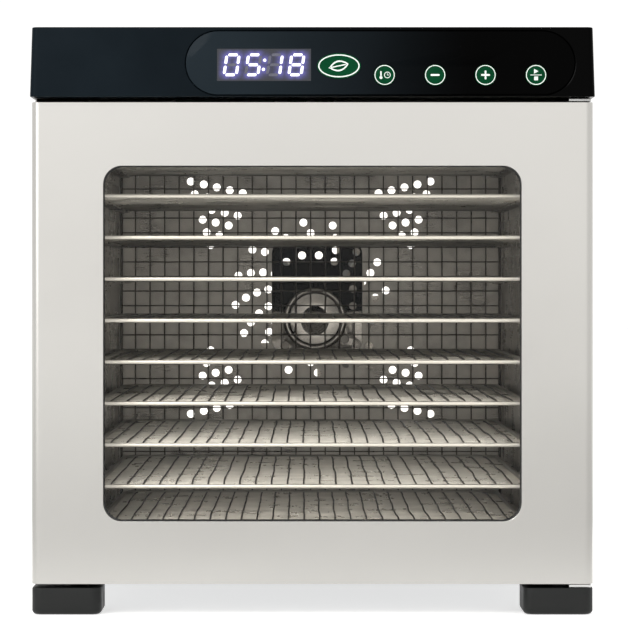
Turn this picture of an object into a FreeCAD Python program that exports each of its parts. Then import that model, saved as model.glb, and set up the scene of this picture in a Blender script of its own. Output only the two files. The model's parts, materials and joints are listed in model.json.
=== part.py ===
"""Ten-tray food dehydrator: a stainless cabinet with a glazed door, a fan and heater behind a perforated
baffle, and a black control head over the door.

Millimetres. The origin is the centre of the footprint on the table, +Z is up and the door faces -Y.
Every function makes one sub-part, and the table at the end names the file that each is written to.
"""
import FreeCAD, Part
import math
import os

V = FreeCAD.Vector
X_AXIS = V(1, 0, 0)
Y_AXIS = V(0, 1, 0)
Z_AXIS = V(0, 0, 1)

# ---- overall sizes ----
DEPTH = 508.0               # lip of the control head to the flange of the mains inlet
FRONT = -DEPTH / 2          # the lip of the control head
BACK = DEPTH / 2
SHEET = 1.0                 # stainless sheet
GAP = 0.3                   # least room between pieces that move past each other

# ---- door ----
DOOR_HALF_W = 216.0
DOOR_FACE_Y = FRONT + 6.5
DOOR_DEPTH = 25.0
DOOR_Z = (23.6, 393.9)
DOOR_EDGE_R = 7.0
DOOR_BACK_Y = DOOR_FACE_Y + DOOR_DEPTH
DOOR_LIP = 12.0
WINDOW_HALF_W = 160.7
WINDOW_Z = (71.8, 345.0)
WINDOW_R = 14.5
GLASS = 4.0
GLASS_Y = DOOR_FACE_Y + 2.2
GASKET_BACK_Y = DOOR_FACE_Y + 9.0
SEAL_HALF_W = 187.0
SEAL_Z = (36.0, 391.0)
SEAL_WIDTH = 5.0
DOOR_SCREW_X = 209.5
DOOR_SCREW_Z = (60.0, 160.0, 257.0, 355.0)

# ---- door hinge, a vertical axis inside the door's right edge ----
HINGE_X = 206.0
HINGE_Y = DOOR_FACE_Y + 10.0
PIN_R = 3.0
PIN_ROOM = 0.05
BUSH_R = 4.95
BUSH_LENGTH = 15.0
BRACKET = 2.3

# ---- cabinet ----
FRAME_Y = DOOR_BACK_Y + 5.0
CASE_HALF_W = 215.5
CASE_BACK_Y = BACK - 4.0
CASE_TOP = 450.0
BASE_Z = 23.1
BASE = 1.5
FRAME_TOP = 394.4
CHAMBER_HALF_W = 177.5
CHAMBER_Z = (45.0, 383.0)
REAR_WALL_Y = 227.0
REAR_FLANGE = 12.0
REAR_SCREW_X = CASE_HALF_W - REAR_FLANGE / 2
REAR_SCREW_Z = (60.0, 180.0, 300.0, 420.0)
VENT_ROWS = (118.0, 300.0)
VENT_SLOTS = 14
VENT_PITCH = 10.0
VENT_SIZE = (3.0, 40.0)

# ---- air system, behind the trays ----
BAFFLE_Y = DOOR_FACE_Y + 449.0
PATTERN_Z = 241.6           # the height of the middle of the hole pattern
HOLE_R = 3.55
SPIRAL_ARMS = 16
SPIRAL_RINGS = (40.0, 50.0, 60.0, 70.0)
SPIRAL_START = 56.5
SPIRAL_TWIST = 5.5
CORNER_PITCH = 12.35
CORNER_TURN = -12.7
CORNER_REACH = (100.0, 158.0)
CORNER_START = (-111.2, 107.8)
CORNER_X = 62.0
CORNER_Z = 45.0
CORNER_SIDE = (89.5, 0.25)          # the patch's outer side: its place at the middle height, and its slope
FAN_X = 4.0
FAN_Z = 222.0
COVER_RING_R = 26.5
COVER_X = (-36.0, 48.0)
COVER_Z = (190.0, 294.0)
HEATER_R = 92.0
PROBE = (135.0, 330.0)
GUARD_Y = BAFFLE_Y - 8.7
GUARD_WIRE = 1.4
GUARD_PITCH = 13.5
GUARD_COLUMNS = 26
POST_X = 162.0
POST_Z = (72.8, 355.2)

# ---- trays ----
TRAYS = 10
TRAY_FIRST_Z = 63.0
TRAY_STEP = 32.5
TRAY_HALF_W = 172.5
TRAY_DEPTH = 381.0
TRAY_FRONT_Y = DOOR_FACE_Y + 43.0
TRAY_ROD = 3.6
TRAY_WIRE = 1.2
TRAY_PITCH = 12.7
TRAY_CORNER = 6.0
RUNNER_IN = 166.0
RUNNER_DROP = 10.0

# ---- control head, whose face leans back ----
HEAD_Z = (397.5, 451.5)
HEAD_HALF_W = (216.75, 215.7)       # at the bottom and at the top
HEAD_LIP = DOOR_FACE_Y - FRONT      # how far the bottom stands forward of the top
HEAD_WALL = 2.5
HEAD_FRONT_WALL = 4.0
HEAD_EDGE_R = 5.0
HEAD_BACK_Y = FRAME_Y - 0.1
FACE_TILT = math.degrees(math.atan(HEAD_LIP / (HEAD_Z[1] - HEAD_Z[0])))
FASCIA_U = (-97.0, 201.0)
FASCIA_V = (-25.4, 23.8)
FASCIA = 2.0
FASCIA_GROOVE = 0.7
KEY_U = (55.3, 94.0, 132.6, 171.3)
KEY_V = -10.4
KEY_R = 8.2
KEY_ROOM = 0.4
KEY_PROUD = 0.6
KEY_STEM_END = -8.7
DISPLAY_U = -37.1
DISPLAY_V = -2.4
DISPLAY_SIZE = (68.0, 24.0)
BADGE_U = 20.3
BADGE_V = -3.3
BADGE_SIZE = (33.7, 19.9)
BOARD_W = -15.6

# ---- feet and mains inlet ----
FOOT_X = (162.3, 216.0)
FOOT_FRONT_Y = DOOR_FACE_Y + 1.0
FOOT_DEPTH = 48.5
FOOT_TOP = 20.6
FOOT_EDGE_R = 8.0
FOOT_CHAMFER = 2.0
NECK_X = (167.0, 187.0)
NECK_INSET = (32.5, 46.5)
INLET_X = -150.0
INLET_Z = 62.0
INLET_HALF = (13.7, 10.0)
INLET_FLANGE_HALF = (25.0, 14.0)


# ---- shapes that several sub-parts are made from ----
def box(x, y, z):
    """A box from three (low, high) pairs."""
    return Part.makeBox(x[1] - x[0], y[1] - y[0], z[1] - z[0], V(x[0], y[0], z[0]))


def rod_y(radius, x, z, y_from, y_to):
    return Part.makeCylinder(radius, y_to - y_from, V(x, y_from, z), Y_AXIS)


def rod_z(radius, x, y, z_from, z_to):
    return Part.makeCylinder(radius, z_to - z_from, V(x, y, z_from), Z_AXIS)


def group(solids):
    return Part.makeCompound(solids)


def joined(solids):
    shape = solids[0].multiFuse(solids[1:]).removeSplitter()
    return shape.Solids[0] if len(shape.Solids) == 1 else shape


def rect(x, z, radius=0.0):
    """A closed outline from two (low, high) pairs, with round corners if a radius is given."""
    if radius == 0:
        places = ((x[0], z[0]), (x[1], z[0]), (x[1], z[1]), (x[0], z[1]), (x[0], z[0]))
        return Part.makePolygon([V(*place, 0) for place in places])
    centres = ((x[1] - radius, z[1] - radius, 0), (x[0] + radius, z[1] - radius, 90),
               (x[0] + radius, z[0] + radius, 180), (x[1] - radius, z[0] + radius, 270))
    arcs = []
    for cx, cz, turn in centres:
        angles = [math.radians(turn + a) for a in (0, 45, 90)]
        arcs.append([V(cx + radius * math.cos(a), cz + radius * math.sin(a), 0) for a in angles])
    edges = []
    for arc, following in zip(arcs, arcs[1:] + arcs[:1]):
        edges.append(Part.Arc(*arc).toShape())
        if arc[2].distanceToPoint(following[0]) > 1e-6:
            edges.append(Part.LineSegment(arc[2], following[0]).toShape())
    return Part.Wire(edges)


def disc(radius, x, z):
    return Part.Wire(Part.makeCircle(radius, V(x, z, 0)))


def face_of(outline, holes):
    return Part.makeFace([outline] + holes, "Part::FaceMakerBullseye")


def wall(outline, holes, y_front, thickness):
    """An upright plate. Its outlines are drawn as (x, z), and it runs back from y_front."""
    plate = face_of(outline, holes).extrude(V(0, 0, thickness))
    plate.Placement = FreeCAD.Placement(V(0, y_front + thickness, 0), FreeCAD.Rotation(X_AXIS, 90))
    return plate.Solids[0]


def round_front(x, y, z, radius):
    """A box whose two upright edges at the low y are round."""
    block = box(x, y, z)
    upright = [edge for edge in block.Edges
               if abs(edge.CenterOfMass.y - y[0]) < 1e-6 and abs(edge.CenterOfMass.z - sum(z) / 2) < 1e-6]
    return block.makeFillet(radius, upright)


def on_face(shape):
    """Moves a shape from the control face's own axes, u across, v up the slope and w outwards."""
    middle = V(0, (FRONT + DOOR_FACE_Y) / 2, sum(HEAD_Z) / 2)
    face = FreeCAD.Placement(middle, FreeCAD.Rotation(X_AXIS, 90 - FACE_TILT))
    shape.Placement = face.multiply(shape.Placement)
    return shape


def grille(half_w, y, xs, ys, wire, rim, z_low):
    """A flat lattice of wires at xs and ys inside a rim, as one plate lying at z_low."""
    x_edges = [-half_w + rim] + [x + side * wire / 2 for x in xs for side in (-1, 1)] + [half_w - rim]
    y_edges = [y[0] + rim] + [v + side * wire / 2 for v in ys for side in (-1, 1)] + [y[1] - rim]
    holes = [rect((x_edges[i], x_edges[i + 1]), (y_edges[j], y_edges[j + 1]))
             for i in range(0, len(x_edges), 2) for j in range(0, len(y_edges), 2)]
    plate = face_of(rect((-half_w, half_w), y), holes).extrude(V(0, 0, wire))
    plate.translate(V(0, 0, z_low))
    return plate.Solids[0]


# ---- cabinet ----
def side_panel(side):
    """Side sheet with a flange at the back that the rear cover screws to."""
    outer = side * CASE_HALF_W
    inner = side * (CASE_HALF_W - SHEET)
    flange = side * (CASE_HALF_W - REAR_FLANGE)
    skin = box(sorted((outer, inner)), (FRAME_Y, CASE_BACK_Y), (BASE_Z, CASE_TOP - SHEET))
    lip = box(sorted((inner, flange)), (CASE_BACK_Y - SHEET, CASE_BACK_Y), (BASE_Z + BASE, CASE_TOP - SHEET))
    panel = joined([skin, lip])
    for z in REAR_SCREW_Z:
        panel = panel.cut(rod_y(1.6, side * REAR_SCREW_X, z, CASE_BACK_Y - 2, CASE_BACK_Y + 1))
    return panel


def top_panel():
    return box((-CASE_HALF_W, CASE_HALF_W), (FRAME_Y, CASE_BACK_Y), (CASE_TOP - SHEET, CASE_TOP))


def foot_centres():
    """The feet's screws: (x, y) for front left, front right, rear left and rear right."""
    x = sum(NECK_X) / 2
    y = FOOT_FRONT_Y + sum(NECK_INSET) / 2
    return [(-x, y), (x, y), (-x, -y), (x, -y)]


def base_pan():
    half = CASE_HALF_W - SHEET - 0.1
    pan = box((-half, half), (FRAME_Y, CASE_BACK_Y - SHEET - 0.1), (BASE_Z, BASE_Z + BASE))
    for x, y in foot_centres():
        pan = pan.cut(rod_z(2.2, x, y, BASE_Z - 1, BASE_Z + BASE + 1))
    return pan


def rear_cover():
    """Back sheet with vent slots around the motor and a cut-out for the mains inlet."""
    holes = []
    for z in VENT_ROWS:
        for n in range(VENT_SLOTS):
            x = VENT_PITCH * (n - (VENT_SLOTS - 1) / 2)
            slot_x = (x - VENT_SIZE[0] / 2, x + VENT_SIZE[0] / 2)
            holes.append(rect(slot_x, (z, z + VENT_SIZE[1]), VENT_SIZE[0] / 2 - 0.1))
    for side in (-1, 1):
        for z in REAR_SCREW_Z:
            holes.append(disc(1.6, side * REAR_SCREW_X, z))
    half_w, half_h = INLET_HALF[0] + 0.2, INLET_HALF[1] + 0.2
    holes.append(rect((INLET_X - half_w, INLET_X + half_w), (INLET_Z - half_h, INLET_Z + half_h)))
    return wall(rect((-CASE_HALF_W, CASE_HALF_W), (BASE_Z, CASE_TOP)), holes, CASE_BACK_Y, SHEET)


def front_frame():
    """The jamb that the door closes against, with the mouth of the chamber."""
    half = CASE_HALF_W - SHEET - 0.1
    mouth = rect((-CHAMBER_HALF_W, CHAMBER_HALF_W), CHAMBER_Z)
    frame = wall(rect((-half, half), (BASE_Z + BASE, FRAME_TOP)), [mouth], FRAME_Y, SHEET)
    return frame


def liner_side(side):
    inner = side * CHAMBER_HALF_W
    return box(sorted((inner, inner + side * SHEET)), (FRAME_Y + SHEET, REAR_WALL_Y), CHAMBER_Z)


def liner_flat(z):
    half = CHAMBER_HALF_W + SHEET
    return box((-half, half), (FRAME_Y + SHEET, REAR_WALL_Y), (z, z + SHEET))


def heater_leg_x():
    return (FAN_X - 14.0, FAN_X + 14.0)


def heater_leg_z():
    return FAN_Z - math.sqrt(HEATER_R ** 2 - 14.0 ** 2)


def liner_back():
    half = CHAMBER_HALF_W + SHEET
    holes = [disc(7.0, FAN_X, FAN_Z), disc(2.2, *PROBE)]
    holes += [disc(4.0, x, heater_leg_z()) for x in heater_leg_x()]
    outline = rect((-half, half), (CHAMBER_Z[0] - SHEET, CHAMBER_Z[1] + SHEET))
    return wall(outline, holes, REAR_WALL_Y, SHEET)


# ---- air system ----
def spiral_holes():
    """Centres of the curved arms of holes around the fan."""
    places = []
    for arm in range(SPIRAL_ARMS):
        for ring, radius in enumerate(SPIRAL_RINGS):
            turn = math.radians(SPIRAL_START + 360.0 / SPIRAL_ARMS * arm + SPIRAL_TWIST * ring)
            places.append((radius * math.cos(turn), PATTERN_Z + radius * math.sin(turn)))
    return places


def corner_holes():
    """Centres of the close-set patch of holes in each corner, mirrored from the top left one."""
    turn = math.radians(CORNER_TURN)
    along = (CORNER_PITCH * math.cos(turn), CORNER_PITCH * math.sin(turn))
    across = (CORNER_PITCH * math.cos(turn - math.pi / 3), CORNER_PITCH * math.sin(turn - math.pi / 3))
    places = []
    for i in range(-12, 13):
        for j in range(0, 13):
            x = CORNER_START[0] + i * along[0] + j * across[0]
            z = CORNER_START[1] + i * along[1] + j * across[1]
            side = CORNER_SIDE[0] + CORNER_SIDE[1] * z
            inside = CORNER_X < -x < side and z > CORNER_Z
            if inside and CORNER_REACH[0] < math.hypot(x, z) < CORNER_REACH[1]:
                places += [(sx * x, PATTERN_Z + sz * z) for sx in (-1, 1) for sz in (-1, 1)]
    return places


def clear_of_ring(place):
    return math.hypot(place[0] - FAN_X, place[1] - FAN_Z) > COVER_RING_R + 3 + HOLE_R


def fan_baffle():
    """Perforated plate that spreads the fan's air over the trays."""
    holes = [disc(HOLE_R, *place) for place in spiral_holes() + corner_holes() if clear_of_ring(place)]
    holes.append(disc(2.2, *PROBE))
    outline = rect((-CHAMBER_HALF_W + 0.1, CHAMBER_HALF_W - 0.1), (CHAMBER_Z[0] + 0.1, CHAMBER_Z[1] - 0.1))
    return wall(outline, holes, BAFFLE_Y, SHEET)


def fan_cover():
    """Pressed plate over the fan, with a raised ring and a stepped hub."""
    inner = 5.0
    holes = [disc(HOLE_R, *place) for place in spiral_holes()
             if clear_of_ring(place) and COVER_X[0] + inner < place[0] < COVER_X[1] - inner
             and COVER_Z[0] + inner < place[1] < COVER_Z[1] - inner]
    plate = wall(rect(COVER_X, COVER_Z, 12.0), holes, BAFFLE_Y - SHEET, SHEET)
    front = BAFFLE_Y - SHEET
    bead = Part.makeTorus(COVER_RING_R, 2.6, V(FAN_X, front, FAN_Z), Y_AXIS)
    bead = bead.common(rod_y(COVER_RING_R + 4, FAN_X, FAN_Z, front - 4, front + 0.5))
    steps = [rod_y(radius, FAN_X, FAN_Z, front - height, front + 0.5)
             for radius, height in ((12.0, 2.2), (8.5, 3.6), (5.0, 4.8))]
    return joined([plate, bead] + steps)


def guard_grid():
    """Square wire guard in front of the baffle, drawn flat and then stood up."""
    xs = [GUARD_PITCH * (n - GUARD_COLUMNS / 2) for n in range(1, GUARD_COLUMNS)]
    low, high = CHAMBER_Z[0] + 0.3, CHAMBER_Z[1] - 0.3
    rows = [low + (high - low) * n / 6 for n in range(1, 6)]
    half = GUARD_PITCH * GUARD_COLUMNS / 2 + GUARD_WIRE / 2
    lattice = grille(half, (low, high), xs, rows, GUARD_WIRE, GUARD_WIRE, 0)
    lattice.Placement = FreeCAD.Placement(V(0, GUARD_Y + GUARD_WIRE, 0), FreeCAD.Rotation(X_AXIS, 90))
    return lattice


def baffle_standoffs():
    """Posts that hold the baffle off the rear wall, and spacers that hold the guard off the baffle."""
    places = [(side * POST_X, z) for side in (-1, 1) for z in POST_Z]
    posts = [rod_y(4.0, x, z, BAFFLE_Y + SHEET, REAR_WALL_Y) for x, z in places]
    spacers = [rod_y(3.0, x, z, GUARD_Y + GUARD_WIRE, BAFFLE_Y) for x, z in places]
    return group(posts + spacers)


def fan_blade():
    """Axial fan: a hub with six pitched paddles."""
    middle_y = BAFFLE_Y + 11.5
    hub = rod_y(14.0, FAN_X, FAN_Z, middle_y - 6, middle_y + 6)
    paddles = []
    for n in range(6):
        paddle = box((10.0, 72.0), (-8.0, 8.0), (-0.9, 0.9))
        paddle.rotate(V(0, 0, 0), X_AXIS, 35)
        paddle.rotate(V(0, 0, 0), Y_AXIS, 60 * n)
        paddle.translate(V(FAN_X, middle_y, FAN_Z))
        paddles.append(paddle)
    return joined([hub] + paddles).cut(rod_y(PIN_R + PIN_ROOM, FAN_X, FAN_Z, middle_y - 9, middle_y + 9))


def fan_shaft():
    hub_front = BAFFLE_Y + 5.5
    shaft = rod_y(PIN_R, FAN_X, FAN_Z, hub_front - 3, CASE_BACK_Y - 3)
    nut = rod_y(5.5, FAN_X, FAN_Z, hub_front - 3.7, hub_front - 0.1)
    return joined([shaft, nut])


def fan_motor():
    front = REAR_WALL_Y + SHEET + 1.6
    core = box((FAN_X - 34, FAN_X + 34), (front + 2, front + 17), (FAN_Z - 26, FAN_Z + 26))
    bearing = rod_y(13.0, FAN_X, FAN_Z, front, CASE_BACK_Y - 1.5)
    return joined([core, bearing]).cut(rod_y(PIN_R + PIN_ROOM, FAN_X, FAN_Z, front - 1, CASE_BACK_Y))


def motor_strap():
    front = REAR_WALL_Y + SHEET
    outline = rect((FAN_X - 56, FAN_X + 56), (FAN_Z - 9, FAN_Z + 9), 4.0)
    return wall(outline, [disc(7.5, FAN_X, FAN_Z)], front, 1.5)


def heater_element():
    """Ring heater around the fan, with two legs through the rear wall."""
    y = BAFFLE_Y + 12.5
    ring = Part.makeTorus(HEATER_R, 3.2, V(FAN_X, y, FAN_Z), Y_AXIS)
    legs = [rod_y(2.4, x, heater_leg_z(), y, REAR_WALL_Y + 9) for x in heater_leg_x()]
    return joined([ring] + legs)


def thermal_cutout():
    y = REAR_WALL_Y + SHEET
    body = rod_y(8.0, FAN_X + 60, FAN_Z + 78, y, y + 8)
    tabs = [box((x - 1.5, x + 1.5), (y + 7, y + 14), (FAN_Z + 77.6, FAN_Z + 78.4))
            for x in (FAN_X + 56, FAN_X + 64)]
    return joined([body] + tabs)


def temperature_probe():
    return rod_y(2.0, PROBE[0], PROBE[1], GUARD_Y + 4, REAR_WALL_Y + 9)


# ---- trays and their runners ----
def tray_z(number):
    """Height of the middle of a tray's rim rod, counting up from 1 at the bottom."""
    return TRAY_FIRST_Z + TRAY_STEP * (number - 1)


def tray():
    """The bottom tray: a mesh welded level with the underside of a rim with cut-off corners."""
    back = TRAY_FRONT_Y + TRAY_DEPTH
    low = tray_z(1) - TRAY_ROD / 2
    wires = [TRAY_PITCH * (n + 0.5) for n in range(-13, 13)]
    ties = [TRAY_FRONT_Y + TRAY_DEPTH * n / 6 for n in range(1, 6)]
    mesh = grille(TRAY_HALF_W - 1, (TRAY_FRONT_Y + 1, back - 1), wires, ties, TRAY_WIRE, TRAY_ROD - 1, low)
    cut = TRAY_CORNER
    outer = [(-TRAY_HALF_W + cut, TRAY_FRONT_Y), (TRAY_HALF_W - cut, TRAY_FRONT_Y),
             (TRAY_HALF_W, TRAY_FRONT_Y + cut), (TRAY_HALF_W, back - cut),
             (TRAY_HALF_W - cut, back), (-TRAY_HALF_W + cut, back),
             (-TRAY_HALF_W, back - cut), (-TRAY_HALF_W, TRAY_FRONT_Y + cut)]
    outline = Part.makePolygon([V(x, y, low) for x, y in outer + outer[:1]])
    blank = Part.Face(outline).extrude(V(0, 0, TRAY_ROD))
    inside = box((-TRAY_HALF_W + TRAY_ROD, TRAY_HALF_W - TRAY_ROD),
                 (TRAY_FRONT_Y + TRAY_ROD, back - TRAY_ROD), (low - 1, low + TRAY_ROD + 1))
    rim = blank.cut(inside)
    return joined([rim, mesh.common(blank)])


def tray_runners():
    """Angle strips on the chamber's side walls, a pair under each tray."""
    strips = []
    for number in range(1, TRAYS + 1):
        top = tray_z(number) - TRAY_ROD / 2 - GAP
        for side in (-1, 1):
            outer = side * CHAMBER_HALF_W
            y = (TRAY_FRONT_Y + 4, TRAY_FRONT_Y + TRAY_DEPTH + 3)
            ledge = box(sorted((outer, side * RUNNER_IN)), y, (top - TRAY_WIRE, top))
            leg = box(sorted((outer, outer - side * TRAY_WIRE)), y, (top - RUNNER_DROP, top))
            strips.append(joined([ledge, leg]))
    return group(strips)


# ---- hinge ----
def hinge_brackets():
    """Plates over and under the door's right corners, each with a hole for its pin."""
    x = (HINGE_X - 8.6, CASE_HALF_W - SHEET - 0.1)
    y = (HINGE_Y - 6.5, FRAME_Y + 27.5)
    plates = []
    for low in (FRAME_TOP + 0.1, BASE_Z - BRACKET - 0.1):
        plate = box(x, y, (low, low + BRACKET))
        plates.append(plate.cut(rod_z(PIN_R + PIN_ROOM, HINGE_X, HINGE_Y, low - 1, low + BRACKET + 1)))
    return group(plates)


def hinge_pins():
    upper = rod_z(PIN_R, HINGE_X, HINGE_Y, DOOR_Z[1] - BUSH_LENGTH + 1, FRAME_TOP + 0.1 + BRACKET)
    lower = rod_z(PIN_R, HINGE_X, HINGE_Y, BASE_Z - BRACKET - 0.1, DOOR_Z[0] + BUSH_LENGTH - 1)
    return group([upper, lower])


def hinge_bushings():
    bushes = []
    for low in (DOOR_Z[0], DOOR_Z[1] - BUSH_LENGTH):
        bush = rod_z(BUSH_R, HINGE_X, HINGE_Y, low, low + BUSH_LENGTH)
        bushes.append(bush.cut(rod_z(PIN_R + PIN_ROOM, HINGE_X, HINGE_Y, low - 1, low + BUSH_LENGTH + 1)))
    return group(bushes)


# ---- door ----
def upright_tool(x, z, radius, y):
    """A solid window shape through a range of y, for cutting."""
    return wall(rect(x, z, radius), [], y[0], y[1] - y[0])


def door_screw_places():
    return [(side * DOOR_SCREW_X, z) for side in (-1, 1) for z in DOOR_SCREW_Z]


def door_skin():
    """Folded stainless pan with round upright edges, a window and a lip around its open back."""
    y = (DOOR_FACE_Y, DOOR_BACK_Y - SHEET)
    half = DOOR_HALF_W
    shell = round_front((-half, half), y, DOOR_Z, DOOR_EDGE_R)
    hollow = round_front((-half + SHEET, half - SHEET), (y[0] + SHEET, y[1] - SHEET),
                         (DOOR_Z[0] + SHEET, DOOR_Z[1] - SHEET), DOOR_EDGE_R - SHEET)
    mouth = box((-half + DOOR_LIP, half - DOOR_LIP), (y[1] - 2 * SHEET, y[1] + SHEET),
                (DOOR_Z[0] + DOOR_LIP, DOOR_Z[1] - DOOR_LIP))
    window = upright_tool((-WINDOW_HALF_W, WINDOW_HALF_W), WINDOW_Z, WINDOW_R, (y[0] - 1, y[0] + 2 * SHEET))
    skin = shell.cut(hollow).cut(mouth).cut(window)
    for low in (DOOR_Z[0] - 1, DOOR_Z[1] - SHEET - 1):
        skin = skin.cut(rod_z(BUSH_R + PIN_ROOM, HINGE_X, HINGE_Y, low, low + SHEET + 2))
    for x, z in door_screw_places():
        skin = skin.cut(rod_y(1.6, x, z, y[1] - 2, y[1] + 1))
    return skin.Solids[0]


def door_inner_frame():
    """Back sheet of the door, with a collar that holds the glass and its gasket."""
    back = wall(rect((-DOOR_HALF_W + 2.5, DOOR_HALF_W - 2.5), (DOOR_Z[0] + 2.4, DOOR_Z[1] - 2.4)),
                [disc(1.6, x, z) for x, z in door_screw_places()], DOOR_BACK_Y - SHEET, SHEET)
    room = 3.0
    inner_x = (-WINDOW_HALF_W - room, WINDOW_HALF_W + room)
    inner_z = (WINDOW_Z[0] - room, WINDOW_Z[1] + room)
    outer_x = (inner_x[0] - SHEET, inner_x[1] + SHEET)
    outer_z = (inner_z[0] - SHEET, inner_z[1] + SHEET)
    reach = (GASKET_BACK_Y, DOOR_BACK_Y)
    collar = upright_tool(outer_x, outer_z, WINDOW_R + room + SHEET, reach)
    opening = upright_tool(inner_x, inner_z, WINDOW_R + room, (reach[0] - 1, reach[1] + 1))
    return joined([back, collar]).cut(opening).Solids[0]


def glass_outline():
    grow = 8.0
    z = (WINDOW_Z[0] - grow, WINDOW_Z[1] + grow)
    return (-WINDOW_HALF_W - grow, WINDOW_HALF_W + grow), z, WINDOW_R + 5


def window_glass():
    x, z, radius = glass_outline()
    return wall(rect(x, z, radius), [], GLASS_Y, GLASS)


def window_gasket():
    """Rubber channel around the edge of the glass."""
    x, z, radius = glass_outline()
    rim = 2.3
    lip = 0.8
    outside = rect((x[0] - rim, x[1] + rim), (z[0] - rim, z[1] + rim), radius + rim)
    inside_z = (WINDOW_Z[0] + lip, WINDOW_Z[1] - lip)
    inside = rect((-WINDOW_HALF_W + lip, WINDOW_HALF_W - lip), inside_z, WINDOW_R)
    front = DOOR_FACE_Y + SHEET
    ring = wall(outside, [inside], front, GASKET_BACK_Y - front)
    return ring.cut(upright_tool(x, z, radius, (GLASS_Y, GLASS_Y + GLASS)))


def door_seal():
    """Lip seal that closes the gap to the front frame."""
    outer = rect((-SEAL_HALF_W, SEAL_HALF_W), SEAL_Z, 8.0)
    inner = rect((-SEAL_HALF_W + SEAL_WIDTH, SEAL_HALF_W - SEAL_WIDTH),
                 (SEAL_Z[0] + SEAL_WIDTH, SEAL_Z[1] - SEAL_WIDTH), 4.0)
    return wall(outer, [inner], DOOR_BACK_Y, FRAME_Y - DOOR_BACK_Y - GAP)


def catch_x():
    return (-203.0, -191.0)


def catch_z():
    return ((100.0, 130.0), (290.0, 320.0))


def door_magnets():
    y = DOOR_BACK_Y - SHEET
    return group([box(catch_x(), (y - 6, y), z) for z in catch_z()])


def strike_plates():
    return group([box(catch_x(), (FRAME_Y - 0.8, FRAME_Y), z) for z in catch_z()])


def screw_y(x, z, y, head_r, head_h, shank_r, shank_l):
    """A pan-head screw driven towards -Y, its head lying on the plane y."""
    return joined([rod_y(head_r, x, z, y, y + head_h), rod_y(shank_r, x, z, y - shank_l, y + 0.2)])


def door_screws():
    return group([screw_y(x, z, DOOR_BACK_Y, 2.7, 1.6, 1.5, 5.0) for x, z in door_screw_places()])


# ---- control head ----
def head_block(inset, z, depth_in, back_y):
    """The head's tapering block, or a smaller one inset from it for the hollow."""
    wires = []
    for z_at in z:
        share = (z_at - HEAD_Z[0]) / (HEAD_Z[1] - HEAD_Z[0])
        half = HEAD_HALF_W[0] + (HEAD_HALF_W[1] - HEAD_HALF_W[0]) * share - inset
        front = FRONT + HEAD_LIP * share + depth_in
        r = HEAD_EDGE_R
        mid = r * (1 - math.cos(math.pi / 4))
        left = Part.Arc(V(-half, front + r, z_at), V(-half + mid, front + mid, z_at),
                        V(-half + r, front, z_at))
        right = Part.Arc(V(half - r, front, z_at), V(half - mid, front + mid, z_at),
                         V(half, front + r, z_at))
        runs = (((-half, back_y), (-half, front + r)), ((-half + r, front), (half - r, front)),
                ((half, front + r), (half, back_y)), ((half, back_y), (-half, back_y)))
        lines = [Part.LineSegment(V(*start, z_at), V(*end, z_at)) for start, end in runs]
        outline = (lines[0], left, lines[1], right, lines[2], lines[3])
        wires.append(Part.Wire([edge.toShape() for edge in outline]))
    return Part.makeLoft(wires, True, True)


def control_housing():
    """Black moulding over the door, open at the back, with a pocket for the fascia."""
    outer = head_block(0, HEAD_Z, 0, HEAD_BACK_Y)
    hollow_z = (HEAD_Z[0] + HEAD_WALL, HEAD_Z[1] - HEAD_WALL)
    hollow = head_block(HEAD_WALL, hollow_z, HEAD_FRONT_WALL, HEAD_BACK_Y + 5)
    g = FASCIA_GROOVE
    v = (FASCIA_V[0] - g, FASCIA_V[1] + g)
    u = (FASCIA_U[0] - g, FASCIA_U[1] + g)
    pocket = Part.Face(rect(u, v, (v[1] - v[0]) / 2 - 0.01)).extrude(V(0, 0, 2 * FASCIA))
    pocket.translate(V(0, 0, -FASCIA))
    through = box((-78.0, 190.0), (-19.0, 12.0), (-8.0, 1.0))
    return outer.cut(hollow).cut(on_face(pocket)).cut(on_face(through)).Solids[0]


def control_fascia():
    """Stadium-shaped glossy panel with a hole for each key."""
    radius = (FASCIA_V[1] - FASCIA_V[0]) / 2 - 0.01
    holes = [disc(KEY_R + KEY_ROOM, u, KEY_V) for u in KEY_U]
    plate = face_of(rect(FASCIA_U, FASCIA_V, radius), holes).extrude(V(0, 0, FASCIA))
    plate.translate(V(0, 0, -FASCIA))
    return on_face(plate.Solids[0])


def key(u):
    """Round key with a stem that reaches down to its switch."""
    cap = Part.makeCylinder(KEY_R, KEY_PROUD + FASCIA + 0.6, V(u, KEY_V, -FASCIA - 0.6))
    stem = Part.makeCylinder(2.5, -KEY_STEM_END - FASCIA, V(u, KEY_V, KEY_STEM_END))
    return on_face(joined([cap, stem]))


def display_module():
    w, h = DISPLAY_SIZE
    block = box((DISPLAY_U - w / 2, DISPLAY_U + w / 2), (DISPLAY_V - h / 2, DISPLAY_V + h / 2),
                (BOARD_W + 1.6, -FASCIA - 0.4))
    return on_face(block)


def control_board():
    """Circuit board behind the fascia, with a switch under each key."""
    board = box((-88.0, 194.0), (-18.0, 16.0), (BOARD_W, BOARD_W + 1.6))
    switches = [box((u - 3, u + 3), (KEY_V - 3, KEY_V + 3), (BOARD_W + 1, KEY_STEM_END - 1.2)) for u in KEY_U]
    chip = box((30.0, 42.0), (-6.0, 6.0), (BOARD_W + 1, BOARD_W + 3.2))
    return on_face(joined([board, chip] + switches))


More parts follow.
